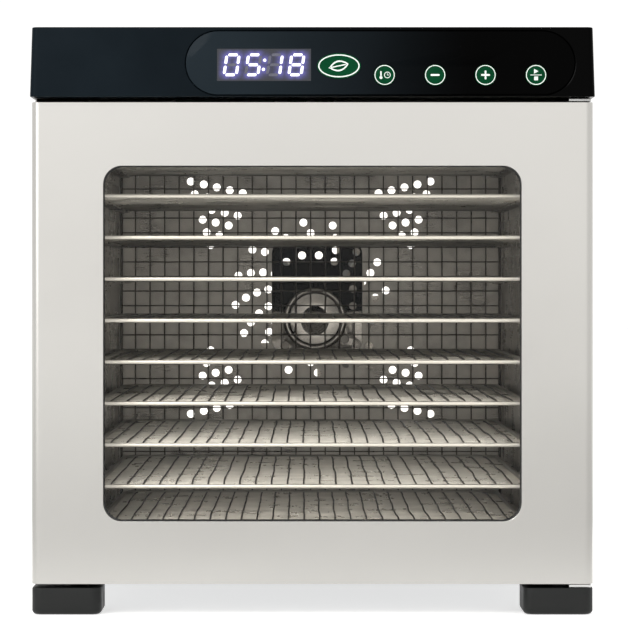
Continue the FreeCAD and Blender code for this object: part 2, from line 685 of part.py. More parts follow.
def power_board():
    """Mains board over the chamber's ceiling, with its transformer, relay and capacitors."""
    low = CHAMBER_Z[1] + SHEET + 8
    board = box((-120.0, 40.0), (-150.0, -20.0), (low, low + 1.6))
    parts = [box((-110.0, -66.0), (-140.0, -104.0), (low + 1, low + 34)),
             box((-50.0, -30.0), (-140.0, -112.0), (low + 1, low + 17)),
             rod_z(8.0, -12.0, -126.0, low + 1, low + 24), rod_z(8.0, 10.0, -126.0, low + 1, low + 24),
             box((-110.0, -50.0), (-50.0, -30.0), (low + 1, low + 13))]
    legs = [rod_z(3.0, x, y, low - 8, low + 0.5) for x in (-114.0, 34.0) for y in (-144.0, -26.0)]
    return joined([board] + parts + legs)


def badge():
    """Plain oval plate on the fascia."""
    oval = Part.Ellipse(V(BADGE_U, BADGE_V, 0), BADGE_SIZE[0] / 2, BADGE_SIZE[1] / 2).toShape()
    return on_face(Part.Face(Part.Wire(oval)).extrude(V(0, 0, 0.5)))


# ---- feet, inlet, wiring, screws ----
def foot(side, front):
    """Moulded foot with round upright edges, a bevelled sole, and a neck up to the base pan."""
    y0 = FOOT_FRONT_Y
    block = box(sorted((side * FOOT_X[0], side * FOOT_X[1])), (y0, y0 + FOOT_DEPTH), (0, FOOT_TOP))
    upright = [edge for edge in block.Edges if abs(edge.CenterOfMass.z - FOOT_TOP / 2) < 1e-6]
    block = block.makeFillet(FOOT_EDGE_R, upright)
    sole = [edge for edge in block.Edges if edge.BoundBox.ZMax < 1e-6]
    block = block.makeChamfer(FOOT_CHAMFER, sole)
    neck = box(sorted((side * NECK_X[0], side * NECK_X[1])), (y0 + NECK_INSET[0], y0 + NECK_INSET[1]),
               (FOOT_TOP - 1, BASE_Z))
    x = side * sum(NECK_X) / 2
    y = y0 + sum(NECK_INSET) / 2
    shape = joined([block, neck]).cut(rod_z(2.1, x, y, 6, BASE_Z + 1))
    return shape if front else shape.mirror(V(0, 0, 0), Y_AXIS)


def feet(front):
    return group([foot(side, front) for side in (-1, 1)])


def cabinet_screws():
    """Foot screws with their heads on the base pan, and the rear cover's screws."""
    top = BASE_Z + BASE
    screws = [joined([rod_z(4.0, x, y, top, top + 2.4), rod_z(2.0, x, y, 7, top + 0.2)])
              for x, y in foot_centres()]
    places = [(side * REAR_SCREW_X, z) for side in (-1, 1) for z in REAR_SCREW_Z]
    screws += [screw_y(x, z, CASE_BACK_Y + SHEET, 3.2, 1.8, 1.5, 7.0) for x, z in places]
    return group(screws)


def power_inlet():
    """Flanged three-pin mains socket let into the rear cover."""
    hw, hh = INLET_HALF
    fw, fh = INLET_FLANGE_HALF
    body = box((INLET_X - hw, INLET_X + hw), (REAR_WALL_Y + SHEET + 2, BACK - 1),
               (INLET_Z - hh, INLET_Z + hh))
    flange = box((INLET_X - fw, INLET_X + fw), (CASE_BACK_Y + SHEET, BACK),
                 (INLET_Z - fh, INLET_Z + fh))
    cavity = box((INLET_X - hw + 1.5, INLET_X + hw - 1.5), (BACK - 16, BACK + 1),
                 (INLET_Z - hh + 1.8, INLET_Z + hh - 1.8))
    pins = [box((INLET_X + x - 1, INLET_X + x + 1), (BACK - 17, BACK - 5), (INLET_Z + z - 2, INLET_Z + z + 2))
            for x, z in ((-7.0, -1.5), (0.0, 2.5), (7.0, -1.5))]
    return joined([joined([body, flange]).cut(cavity)] + pins)


def wiring_harness():
    """Sleeved wires from the control space down to the motor's side."""
    y = (REAR_WALL_Y + SHEET + CASE_BACK_Y) / 2 + 1
    x = 100.0
    bend = 28.0
    mid = bend * math.cos(math.pi / 4)
    low = FAN_Z
    turn = (V(x, y, low + bend), V(x - bend + mid, y, low + bend - mid), V(x - bend, y, low))
    route = [Part.LineSegment(V(x, y, 410.0), V(x, y, low + bend)).toShape(),
             Part.Arc(*turn).toShape(),
             Part.LineSegment(V(x - bend, y, low), V(FAN_X + 34.2, y, low)).toShape()]
    section = Part.Wire(Part.makeCircle(3.0, V(x, y, 410.0), Z_AXIS))
    return Part.Wire(route).makePipeShell([section], True, False).Solids[0]


NODES = {
    "side_panel_left": lambda: side_panel(-1),
    "side_panel_right": lambda: side_panel(1),
    "top_panel": top_panel,
    "base_pan": base_pan,
    "rear_cover": rear_cover,
    "front_frame": front_frame,
    "liner_left": lambda: liner_side(-1),
    "liner_right": lambda: liner_side(1),
    "liner_floor": lambda: liner_flat(CHAMBER_Z[0] - SHEET),
    "liner_ceiling": lambda: liner_flat(CHAMBER_Z[1]),
    "liner_back": liner_back,
    "fan_baffle": fan_baffle,
    "fan_cover": fan_cover,
    "guard_grid": guard_grid,
    "baffle_standoffs": baffle_standoffs,
    "tray_runners": tray_runners,
    "front_feet": lambda: feet(True),
    "rear_feet": lambda: feet(False),
    "cabinet_screws": cabinet_screws,
    "hinge_brackets": hinge_brackets,
    "hinge_pins": hinge_pins,
    "strike_plates": strike_plates,
    "fan_motor": fan_motor,
    "motor_strap": motor_strap,
    "heater_element": heater_element,
    "thermal_cutout": thermal_cutout,
    "temperature_probe": temperature_probe,
    "control_housing": control_housing,
    "control_fascia": control_fascia,
    "display_module": display_module,
    "control_board": control_board,
    "power_board": power_board,
    "badge": badge,
    "power_inlet": power_inlet,
    "wiring_harness": wiring_harness,
    "door_skin": door_skin,
    "door_inner_frame": door_inner_frame,
    "window_glass": window_glass,
    "window_gasket": window_gasket,
    "door_seal": door_seal,
    "door_magnets": door_magnets,
    "hinge_bushings": hinge_bushings,
    "door_screws": door_screws,
    "fan_blade": fan_blade,
    "fan_shaft": fan_shaft,
}


def main():
    os.makedirs("parts", exist_ok=True)
    for name, make in NODES.items():
        make().exportStep(f"parts/{name}.step")
    for name, u in zip(("key_mode", "key_minus", "key_plus", "key_start"), KEY_U):
        key(u).exportStep(f"parts/{name}.step")
    first = tray()
    for number in range(1, TRAYS + 1):
        copy = first.copy()
        copy.translate(V(0, 0, TRAY_STEP * (number - 1)))
        copy.exportStep(f"parts/tray_{number:02d}.step")


main()
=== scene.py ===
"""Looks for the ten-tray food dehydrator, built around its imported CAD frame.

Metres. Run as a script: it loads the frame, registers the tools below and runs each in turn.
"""
import bmesh
import bpy
import json
import math
from bpy.props import FloatProperty, FloatVectorProperty, IntProperty, PointerProperty
from mathutils import Matrix, Vector

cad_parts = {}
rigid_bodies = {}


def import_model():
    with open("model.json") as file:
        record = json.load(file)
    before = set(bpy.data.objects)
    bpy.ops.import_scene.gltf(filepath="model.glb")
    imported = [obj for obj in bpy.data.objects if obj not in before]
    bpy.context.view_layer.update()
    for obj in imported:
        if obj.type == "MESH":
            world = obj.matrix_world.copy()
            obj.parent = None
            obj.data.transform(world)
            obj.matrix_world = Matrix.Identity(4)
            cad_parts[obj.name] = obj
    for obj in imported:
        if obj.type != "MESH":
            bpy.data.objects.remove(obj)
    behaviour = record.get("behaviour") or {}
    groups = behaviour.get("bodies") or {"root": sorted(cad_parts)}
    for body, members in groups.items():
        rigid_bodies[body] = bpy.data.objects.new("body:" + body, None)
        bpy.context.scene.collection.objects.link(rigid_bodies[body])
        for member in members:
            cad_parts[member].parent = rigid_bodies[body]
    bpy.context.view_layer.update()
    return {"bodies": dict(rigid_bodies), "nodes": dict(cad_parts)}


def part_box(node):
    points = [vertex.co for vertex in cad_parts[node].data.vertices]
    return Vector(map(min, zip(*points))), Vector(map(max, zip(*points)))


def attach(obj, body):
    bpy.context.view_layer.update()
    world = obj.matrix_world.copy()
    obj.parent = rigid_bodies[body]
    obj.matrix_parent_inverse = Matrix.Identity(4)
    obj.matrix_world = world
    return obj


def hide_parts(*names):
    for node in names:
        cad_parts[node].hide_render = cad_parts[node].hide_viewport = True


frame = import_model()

bl_info = {
    "name": "Food dehydrator looks",
    "version": (1, 0, 0),
    "blender": (4, 5, 0),
    "location": "View3D > Sidebar > Dehydrator",
    "description": "Builds the finishes and fine detail of a ten-tray food dehydrator",
    "category": "Object",
}

MM = 0.001
WIRE_LABELS = ("Along Material", "Across Material", "Rod Material")
SIDE_SWAY = 3.0                 # how many times further a long wire wanders sideways than up and down
KEY_ROW = -10.4 * MM            # the keys' row, up the control face from its middle
BADGE_HALF_HEIGHT = 9.95 * MM
VENT_PITCH = 10.0 * MM          # of the slots in the back
VENT_SLOTS = 14
VENT_ROWS = (138 * MM, 320 * MM)
# Screws in millimetres: their places across, in depth and in height, and then the head's radius and
# height, and the shank's radius and length.
SCREWS = {"door": ((-209.5, 209.5), (-222.5,), (60, 160, 257, 355), (2.7, 1.6, 1.5, 5)),
          "back": ((-209.5, 209.5), (251.0,), (60, 180, 300, 420), (3.2, 1.8, 1.5, 7)),
          "foot": ((-177, 177), (-207, 207), (24.6,), (4.0, 2.4, 2.0, 17.5))}
HOLES_UP = 27.6 * MM            # the middle of the baffle's groups of holes, above its own


# ---- places read from the frame ----
def middle(node):
    low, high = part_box(node)
    return (low + high) / 2


def control_face():
    """Turns (across, up the slope, outwards) on the leaning control face into frame coordinates."""
    low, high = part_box("control_housing")
    lip = low.y
    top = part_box("door_skin")[0].y
    tilt = math.atan((top - lip) / (high.z - low.z))
    origin = Vector((0, (lip + top) / 2, (low.z + high.z) / 2))
    turn = Matrix(((1, 0, 0), (0, math.sin(tilt), -math.cos(tilt)), (0, math.cos(tilt), math.sin(tilt))))
    return Matrix.Translation(origin) @ turn.to_4x4()


FACE = control_face()
TRAY_BODIES = sorted(name for name in frame["bodies"] if name.startswith("tray_"))
KEYS = ("key_mode", "key_minus", "key_plus", "key_start")


# ---- colours ----
def linear(code):
    """An sRGB hex colour as linear RGBA."""
    shares = [int(code[i:i + 2], 16) / 255 for i in (0, 2, 4)]
    return tuple(c / 12.92 if c <= 0.04045 else ((c + 0.055) / 1.055) ** 2.4 for c in shares) + (1.0,)


def shaded(colour, share):
    return tuple(min(c * share, 1.0) for c in colour[:3]) + (1.0,)


# ---- settings a user would change ----
def length_setting(name, description, size):
    """A setting for a length, whose default is in millimetres."""
    return FloatProperty(name=name, description=description, default=size * MM, unit="LENGTH")


def colour_setting(name, description, code):
    return FloatVectorProperty(
        name=name, description=description, default=linear(code), size=4, subtype="COLOR", min=0, max=1)


class DehydratorSizes(bpy.types.PropertyGroup):
    """Sizes of the detail that the tools add to the frame."""
    tray_rod: length_setting("Tray rod", "Thickness of the rod around each tray", 3.6)
    tray_wire: length_setting("Tray wire", "Thickness of the mesh wire in the trays", 1.25)
    tray_pitch: length_setting("Tray mesh", "Spacing of the wires in a tray", 12.7)
    tray_bend: length_setting("Wire bend", "How far from the rod a wire starts to bend down", 26)
    guard_wire: length_setting("Guard wire", "Thickness of the wire guard's wires", 1.1)
    guard_pitch: length_setting("Guard mesh", "Spacing of the guard's wires", 13.5)
    sheet_edge: length_setting("Sheet edge", "Radius on the edges of folded sheet", 0.3)
    moulded_edge: length_setting("Moulded edge", "Radius on the edges of mouldings", 0.8)
    digit_height: length_setting("Digits", "Height of the clock's digits", 17.8)
    seed: IntProperty(name="Seed", description="Varies the waviness of the tray wires", default=4, min=0)


class DehydratorColours(bpy.types.PropertyGroup):
    """Colours of the main finishes."""
    steel: colour_setting("Casing steel", "Brushed sheet of the door and casing", "D1CFCB")
    liner: colour_setting("Liner steel", "Bright rolled sheet inside the chamber", "C3BFB8")
    chrome: colour_setting("Wire plating", "Bright plating on the trays and guard", "BEBBB4")
    # The blue tint of this black is the left end of the head's painted sheen.
    black: colour_setting("Black moulding", "Control head and feet", "10171C")
    green: colour_setting("Green print", "Keys and badge", "04381F")
    led: colour_setting("Lit digits", "Light of the clock's digits", "E9E6FF")


# ---- nodes ----
def give(tree, node, links):
    """Gives a node's inputs a socket to join, a list of sockets, or a value."""
    for key, value in links.items():
        if isinstance(value, bpy.types.NodeSocket):
            tree.links.new(value, node.inputs[key])
        elif isinstance(value, list):
            for socket in value:
                tree.links.new(socket, node.inputs[key])
        else:
            node.inputs[key].default_value = value


def add(tree, kind, links=None, **settings):
    """Adds a node with its settings and its inputs."""
    made = tree.nodes.new(kind)
    for key, value in settings.items():
        setattr(made, key, value)
    give(tree, made, links or {})
    return made


def maths(tree, operation, first, second=0.5):
    return add(tree, "ShaderNodeMath", {0: first, 1: second}, operation=operation).outputs[0]


def ranged(tree, value, start=(0.0, 1.0), end=(0.0, 1.0), smooth=False):
    """A value carried from one range to another and held at its ends."""
    links = {"Value": value, "From Min": start[0], "From Max": start[1], "To Min": end[0], "To Max": end[1]}
    kind = "SMOOTHSTEP" if smooth else "LINEAR"
    return add(tree, "ShaderNodeMapRange", links, interpolation_type=kind).outputs[0]


def noise(tree, place, scale, detail, **more):
    links = {"Vector": place, "Scale": scale, "Detail": detail}
    return add(tree, "ShaderNodeTexNoise", links | more).outputs[0]


def blend(tree, share, low, high):
    return add(tree, "ShaderNodeMix", {0: share, 6: low, 7: high}, data_type="RGBA").outputs[2]


def bumped(tree, height, distance):
    return add(tree, "ShaderNodeBump", {"Height": height, "Distance": distance}).outputs[0]


def vector(tree, **parts):
    return add(tree, "ShaderNodeCombineXYZ", parts).outputs[0]


def split(tree, place):
    return add(tree, "ShaderNodeSeparateXYZ", {0: place}).outputs


def object_place(tree):
    return add(tree, "ShaderNodeTexCoord").outputs["Object"]


def new_material(name):
    """An empty material, its tree and its shader, with the name of the real finish."""
    material = bpy.data.materials.new(name)
    material.use_nodes = True
    tree = material.node_tree
    tree.nodes.clear()
    shader = add(tree, "ShaderNodeBsdfPrincipled")
    add(tree, "ShaderNodeOutputMaterial", {"Surface": shader.outputs[0]})
    return material, tree, shader


def finish(name, colour, metallic=0.0, roughness=(0.3, 0.4), grain=(1, 1, 1), relief=0.01, patch=60,
           tone=0.06, edge=0, edge_colour=None, painted_light_fade=None, **constants):
    """A surface whose grain shows in its gloss and relief, and whose tone drifts in slow patches.

    grain is its length along X, Y and Z, or the same for all, relief its depth and patch the size of the
    patches, all in millimetres. edge is the width of a worn edge, and fade is an axis, where along it the
    colour starts and ends turning into another, and that other colour: painted light and shade, not a
    change in the surface itself. constants are values for the shader's own sockets.
    """
    material, tree, shader = new_material(name)
    place = object_place(tree)
    cells = tuple(1000 / size for size in (grain if isinstance(grain, tuple) else (grain,) * 3))
    stretched = add(tree, "ShaderNodeMapping", {"Vector": place, "Scale": cells}).outputs[0]
    fine = noise(tree, stretched, 1.0, 4.0, Roughness=0.6)
    drift = ranged(tree, noise(tree, place, 1000 / patch, 3.0), (0.3, 0.7))
    toned = blend(tree, drift, shaded(colour, 1 - tone), shaded(colour, 1 + tone))
    # The fade paints light and shade into the colour: the door's painted shade, the fan cover's painted
    # reflection and the head's painted sheen.
    if painted_light_fade:
        axis, start, end, other = painted_light_fade
        share = ranged(tree, split(tree, place)[axis], (start * MM, end * MM), smooth=True)
        toned = blend(tree, share, toned, other)
    rub = maths(tree, "ADD", fine, drift)
    gloss = ranged(tree, rub, (0.5, 1.4), roughness)
    if edge:
        flat = add(tree, "ShaderNodeNewGeometry").outputs["Normal"]
        rounded = add(tree, "ShaderNodeBevel", {"Radius": edge * MM}, samples=4).outputs[0]
        turned = add(tree, "ShaderNodeVectorMath", {0: flat, 1: rounded}, operation="DOT_PRODUCT")
        worn = maths(tree, "MULTIPLY", ranged(tree, turned.outputs["Value"], (0.99, 0.8)), fine)
        toned = blend(tree, worn, toned, edge_colour or shaded(colour, 1.6))
    give(tree, shader, {"Base Color": toned, "Roughness": gloss, "Metallic": metallic,
                        "Normal": bumped(tree, fine, relief * MM)})
    give(tree, shader, {socket.replace("_", " "): value for socket, value in constants.items()})
    return material


def paint(node, material):
    """Gives a CAD node its finish. Its shape is already right, so the mesh is left alone."""
    slots = frame["nodes"][node].data.materials
    slots.clear()
    slots.append(material)


# ---- meshes ----
def piece(name, mesh, body, replaces=(), material=None):
    """A finished piece on its body, whose mesh is already in place in the frame."""
    if material:
        mesh.materials.clear()
        mesh.materials.append(material)
    made = bpy.data.objects.new(name, mesh)
    bpy.context.scene.collection.objects.link(made)
    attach(made, body)
    if replaces:
        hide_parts(*replaces)
    return made


def meshed(bm, name, smooth=20):
    """Turns a bmesh into a mesh that shades smoothly up to an angle in degrees."""
    mesh = bpy.data.meshes.new(name)
    bm.to_mesh(mesh)
    bm.free()
    mesh.shade_smooth()
    mesh.set_sharp_from_angle(angle=math.radians(smooth))
    return mesh


def eased(node, radius, segments=2, sharp=35):
    """A copy of a CAD node's mesh with its sharp edges rounded over."""
    bm = bmesh.new()
    bm.from_mesh(frame["nodes"][node].data)
    bmesh.ops.remove_doubles(bm, verts=bm.verts, dist=1e-6)
    bmesh.ops.dissolve_limit(bm, angle_limit=math.radians(1.0), verts=bm.verts, edges=bm.edges)
    edges = [e for e in bm.edges if e.is_manifold and e.calc_face_angle() > math.radians(sharp)]
    bmesh.ops.bevel(bm, geom=edges, offset=radius, segments=segments, profile=0.5, affect="EDGES")
    bmesh.ops.triangulate(bm, faces=[f for f in bm.faces if len(f.verts) > 4])
    return meshed(bm, node + "_eased")


def eased_piece(node, radius, body, slot, name=None, segments=2, look=None):
    """A CAD node's shape with its edges eased, on its body in the node's stead."""
    material = FINISHES[look or slot]
    return piece(name or node + "_finished", eased(node, radius, segments), body, (node,), material)


def lathe(profile, place, turns=48, name="lathe"):
    """Spins a profile of (radius, height) around a local Z axis, then sets it in place."""
    bm = bmesh.new()
    rings = []
    for radius, height in profile:
        if radius == 0:
            rings.append([bm.verts.new((0, 0, height))])
        else:
            rings.append([bm.verts.new((radius * math.cos(a), radius * math.sin(a), height))
                          for a in (2 * math.pi * n / turns for n in range(turns))])
    for lower, upper in zip(rings, rings[1:]):
        for n in range(turns):
            ring = (lower[n % len(lower)], lower[(n + 1) % len(lower)],
                    upper[(n + 1) % len(upper)], upper[n % len(upper)])
            corners = list(dict.fromkeys(ring))
            if len(corners) > 2:
                bm.faces.new(corners)
    bmesh.ops.recalc_face_normals(bm, faces=bm.faces)
    bmesh.ops.transform(bm, matrix=place, verts=bm.verts)
    return meshed(bm, name, 40)


def bar(length, thickness, ends=5):
    """Outline of a bar with round ends, along X and centred."""
    r = thickness / 2
    half = length / 2 - r
    right = [(half + r * math.cos(a), r * math.sin(a))
             for a in (math.pi * (n / ends - 0.5) for n in range(ends + 1))]
    return right + [(-x, -y) for x, y in right]


def oval(rx, ry, steps=48):
    return [(rx * math.cos(a), ry * math.sin(a)) for a in (2 * math.pi * n / steps for n in range(steps))]


def moved(outline, u=0.0, v=0.0, turn=0.0):
    c, s = math.cos(math.radians(turn)), math.sin(math.radians(turn))
    return [(u + x * c - y * s, v + x * s + y * c) for x, y in outline]


def prints(name, shapes, w, thickness=0.12 * MM, place=FACE):
    """Thin raised ink in metres: each shape is an outline, or an outline with a hole of as many points."""
    bm = bmesh.new()
    for shape in shapes:
        outer, inner = shape if isinstance(shape, tuple) else (shape, None)
        levels = []
        for height in (w, w + thickness):
            lines = [line for line in (outer, inner) if line]
            levels.append([[bm.verts.new((x, y, height)) for x, y in line] for line in lines])
        bottom, top = levels
        count = len(outer)
        if inner:
            for n in range(count):
                k = (n + 1) % count
                bm.faces.new((top[0][n], top[0][k], top[1][k], top[1][n]))
                bm.faces.new((bottom[0][k], bottom[0][n], bottom[1][n], bottom[1][k]))
                bm.faces.new((bottom[0][n], bottom[0][k], top[0][k], top[0][n]))
                bm.faces.new((bottom[1][k], bottom[1][n], top[1][n], top[1][k]))
        else:
            bm.faces.new(top[0])
            bm.faces.new(bottom[0][::-1])
            for n in range(count):
                k = (n + 1) % count
                bm.faces.new((bottom[0][n], bottom[0][k], top[0][k], top[0][n]))
    bmesh.ops.recalc_face_normals(bm, faces=bm.faces)
    bmesh.ops.transform(bm, matrix=place, verts=bm.verts)
    return meshed(bm, name)


# ---- geometry nodes ----
def new_tree(name, inputs):
    """A geometry tree with named inputs, its input sockets and its output."""
    tree = bpy.data.node_groups.new(name, "GeometryNodeTree")
    tree.interface.new_socket("Geometry", in_out="OUTPUT", socket_type="NodeSocketGeometry")
    tree.interface.new_socket("Geometry", in_out="INPUT", socket_type="NodeSocketGeometry")
    for label, kind in inputs:
        tree.interface.new_socket(label, in_out="INPUT", socket_type="NodeSocket" + kind)
    return tree, add(tree, "NodeGroupInput").outputs, add(tree, "NodeGroupOutput").inputs[0]


def grown(name, tree, values, base=None):
    """Runs a tree with its inputs set, and gives what it makes as a plain mesh."""
    carrier = bpy.data.objects.new(name, base or bpy.data.meshes.new(name))
    bpy.context.scene.collection.objects.link(carrier)
    modifier = carrier.modifiers.new(tree.name, "NODES")
    modifier.node_group = tree
    for item in tree.interface.items_tree:
        if item.item_type == "SOCKET" and item.in_out == "INPUT" and item.name in values:
            modifier[item.identifier] = values[item.name]
    graph = bpy.context.evaluated_depsgraph_get()
    mesh = bpy.data.meshes.new_from_object(carrier.evaluated_get(graph), depsgraph=graph)
    bpy.data.objects.remove(carrier)
    if not mesh.polygons:
        raise RuntimeError(f"{name}: the tree {tree.name} made no faces")
    mesh.name = name
    return mesh


def wire_ends(tree, given, along, half, rise):
    """One straight wire, centred on the origin, that is raised but for its ends."""
    axis = "Y" if along else "X"
    start = vector(tree, **{axis: maths(tree, "MULTIPLY", half, -1.0)})
    end = vector(tree, **{axis: half})
    line = add(tree, "GeometryNodeCurvePrimitiveLine", {"Start": start, "End": end})
    pieces = 44 if along else 36
    fine = add(tree, "GeometryNodeResampleCurve", {"Curve": line.outputs[0], "Count": pieces}).outputs[0]
    place = add(tree, "GeometryNodeInputPosition").outputs[0]
    to_end = maths(tree, "SUBTRACT", half, maths(tree, "ABSOLUTE", split(tree, place)[axis]))
    raised = ranged(tree, to_end, (0.0, given["Bend"]), (0.0, given["Lift"]), True)
    shift = vector(tree, Z=maths(tree, "ADD", raised, rise))
    return add(tree, "GeometryNodeSetPosition", {"Geometry": fine, "Offset": shift}).outputs[0]


def wire_row(tree, given, along, wire):
    """The wire repeated side by side across the panel."""
    count = given["Wires Along"] if along else given["Wires Across"]
    across = "X" if along else "Y"
    span = maths(tree, "MULTIPLY", maths(tree, "SUBTRACT", count, 1.0), given["Pitch"])
    origin = vector(tree, **{across: maths(tree, "MULTIPLY", span, -0.5)})
    step = vector(tree, **{across: given["Pitch"]})
    row = add(tree, "GeometryNodeMeshLine", {"Count": count, "Start Location": origin, "Offset": step},
              mode="OFFSET").outputs[0]
    placed = add(tree, "GeometryNodeInstanceOnPoints", {"Points": row, "Instance": wire}).outputs[0]
    return add(tree, "GeometryNodeRealizeInstances", {0: placed}).outputs[0]


def wire_panel_tree():
    """A flat welded panel: a rod around it and wires both ways that bend down to the rod at their ends."""
    numbers = ("Width", "Length", "Rod", "Wire", "Pitch", "Corner", "Lift", "Bend", "Waviness", "Seed")
    kinds = [(label, "Float") for label in numbers] + [("Wires Along", "Int"), ("Wires Across", "Int")]
    tree, given, out = new_tree("wire_panel", kinds + [(label, "Material") for label in WIRE_LABELS])
    thin = maths(tree, "MULTIPLY", given["Wire"], 0.5)
    thick = maths(tree, "MULTIPLY", given["Rod"], 0.5)
    weld = maths(tree, "SUBTRACT", thin, thick)
    place = add(tree, "GeometryNodeInputPosition").outputs[0]
    links = {"Vector": place, "W": given["Seed"], "Scale": 9.0, "Detail": 1.0}
    sway = add(tree, "ShaderNodeTexNoise", links, noise_dimensions="4D").outputs[0]
    swing = maths(tree, "MULTIPLY", maths(tree, "SUBTRACT", sway, 0.5), given["Waviness"])
    lean = maths(tree, "MULTIPLY", swing, SIDE_SWAY)
    parts = []
    for along in (True, False):
        reach = given["Length"] if along else given["Width"]
        half = maths(tree, "MULTIPLY", maths(tree, "SUBTRACT", reach, given["Rod"]), 0.5)
        rise = maths(tree, "ADD", weld, given["Wire"]) if along else weld
        row = wire_row(tree, given, along, wire_ends(tree, given, along, half, rise))
        offset = vector(tree, X=lean, Z=swing) if along else vector(tree, Z=swing)
        wavy = add(tree, "GeometryNodeSetPosition", {"Geometry": row, "Offset": offset}).outputs[0]
        radius = maths(tree, "MULTIPLY", thin, 1.1) if along else thin
        parts.append(swept(tree, wavy, 6, radius, True))
    sides = [maths(tree, "SUBTRACT", given[label], given["Rod"]) for label in ("Width", "Length")]
    ring = add(tree, "GeometryNodeCurvePrimitiveQuadrilateral", {0: sides[0], 1: sides[1]}).outputs[0]
    corners = add(tree, "GeometryNodeFilletCurve", {"Curve": ring, "Count": 6, "Radius": given["Corner"]},
                  mode="POLY").outputs[0]
    parts.append(swept(tree, corners, 14, thick, False))
    made = []
    for part, label in zip(parts, WIRE_LABELS):
        smooth = add(tree, "GeometryNodeSetShadeSmooth", {0: part}).outputs[0]
        real = add(tree, "GeometryNodeRealizeInstances", {0: smooth}).outputs[0]
        done = add(tree, "GeometryNodeSetMaterial", {"Geometry": real, "Material": given[label]})
        made.append(done.outputs[0])
    tree.links.new(add(tree, "GeometryNodeJoinGeometry", {0: made}).outputs[0], out)
    return tree


def wire_panel(name, values, finishes):
    """A panel made by the wire panel tree, with its finishes in the order of WIRE_LABELS."""
    tree = bpy.data.node_groups.get("wire_panel") or wire_panel_tree()
    materials = {label: FINISHES[key] for label, key in zip(WIRE_LABELS, finishes)}
    return grown(name, tree, values | materials)


def swept(tree, curve, sides, radius, caps):
    """A round section carried along a curve."""
    section = add(tree, "GeometryNodeCurvePrimitiveCircle", {"Resolution": sides, "Radius": radius})
    links = {"Curve": curve, "Profile Curve": section.outputs[0], "Fill Caps": caps}
    return add(tree, "GeometryNodeCurveToMesh", links).outputs[0]


def copies_tree():
    """Copies of one object on each vertex of the mesh that the tree runs on."""
    kinds = (("Copy", "Object"), ("Turn", "Vector"), ("Material", "Material"))
    tree, given, out = new_tree("copies", kinds)
    source = add(tree, "GeometryNodeObjectInfo", {"Object": given["Copy"]}).outputs["Geometry"]
    turn = add(tree, "FunctionNodeEulerToRotation", {0: given["Turn"]}).outputs[0]
    placed = add(tree, "GeometryNodeInstanceOnPoints", {"Points": given["Geometry"], "Instance": source,
                                                       "Rotation": turn}).outputs[0]
    real = add(tree, "GeometryNodeRealizeInstances", {0: placed}).outputs[0]
    done = add(tree, "GeometryNodeSetMaterial", {"Geometry": real, "Material": given["Material"]})
    tree.links.new(done.outputs[0], out)
    return tree


def copied(name, mesh, places, turn, material):
    """One mesh repeated at each place, made by the copies tree."""
    source = bpy.data.objects.new(name + "_source", mesh)
    spots = bpy.data.meshes.new(name)
    spots.from_pydata(places, [], [])
    tree = bpy.data.node_groups.get("copies") or copies_tree()
    result = grown(name, tree, {"Copy": source, "Turn": turn, "Material": material}, spots)
    bpy.data.objects.remove(source)
    return result


def pan_screw(radius, height, shank, length, recess=0.55):
    """A pan-head screw with a cross recess, its head standing on the origin with its top towards +Z."""
    bm = bmesh.new()
    turns = 20
    dome = ((1, 0), (1, 0.45), (0.93, 0.72), (0.78, 0.92), (0.66, 1.0))
    steps = [(shank * 0.8, -length), (shank, 0.3 * MM - length), (shank, 0)]
    steps += [(radius * share, height * rise) for share, rise in dome]
    levels = [[bm.verts.new((wide * math.cos(a), wide * math.sin(a), rise))
               for a in (2 * math.pi * n / turns for n in range(turns))] for wide, rise in steps]
    for lower, upper in zip(levels, levels[1:]):
        for n in range(turns):
            bm.faces.new((lower[n], lower[(n + 1) % turns], upper[(n + 1) % turns], upper[n]))
    bm.faces.new(levels[0][::-1])
    arm, width = radius * recess, radius * 0.13
    side = [(arm, width), (width, width), (width, arm), (-width, arm), (-width, width), (-arm, width)]
    cross = side + [(-x, -y) for x, y in side]
    top = [bm.verts.new((x, y, height)) for x, y in cross]
    deep = [bm.verts.new((x * 0.55, y * 0.8, height * 0.25)) for x, y in cross]
    for n in range(12):
        k = (n + 1) % 12
        bm.faces.new((top[n], top[k], deep[k], deep[n]))
    bm.faces.new(deep)
    rims = [bm.edges.get((line[n], line[(n + 1) % len(line)])) for line in (levels[-1], top)
            for n in range(len(line))]
    bmesh.ops.triangle_fill(bm, use_beauty=True, edges=rims)
    bmesh.ops.recalc_face_normals(bm, faces=bm.faces)
    return meshed(bm, "pan_screw", 30)


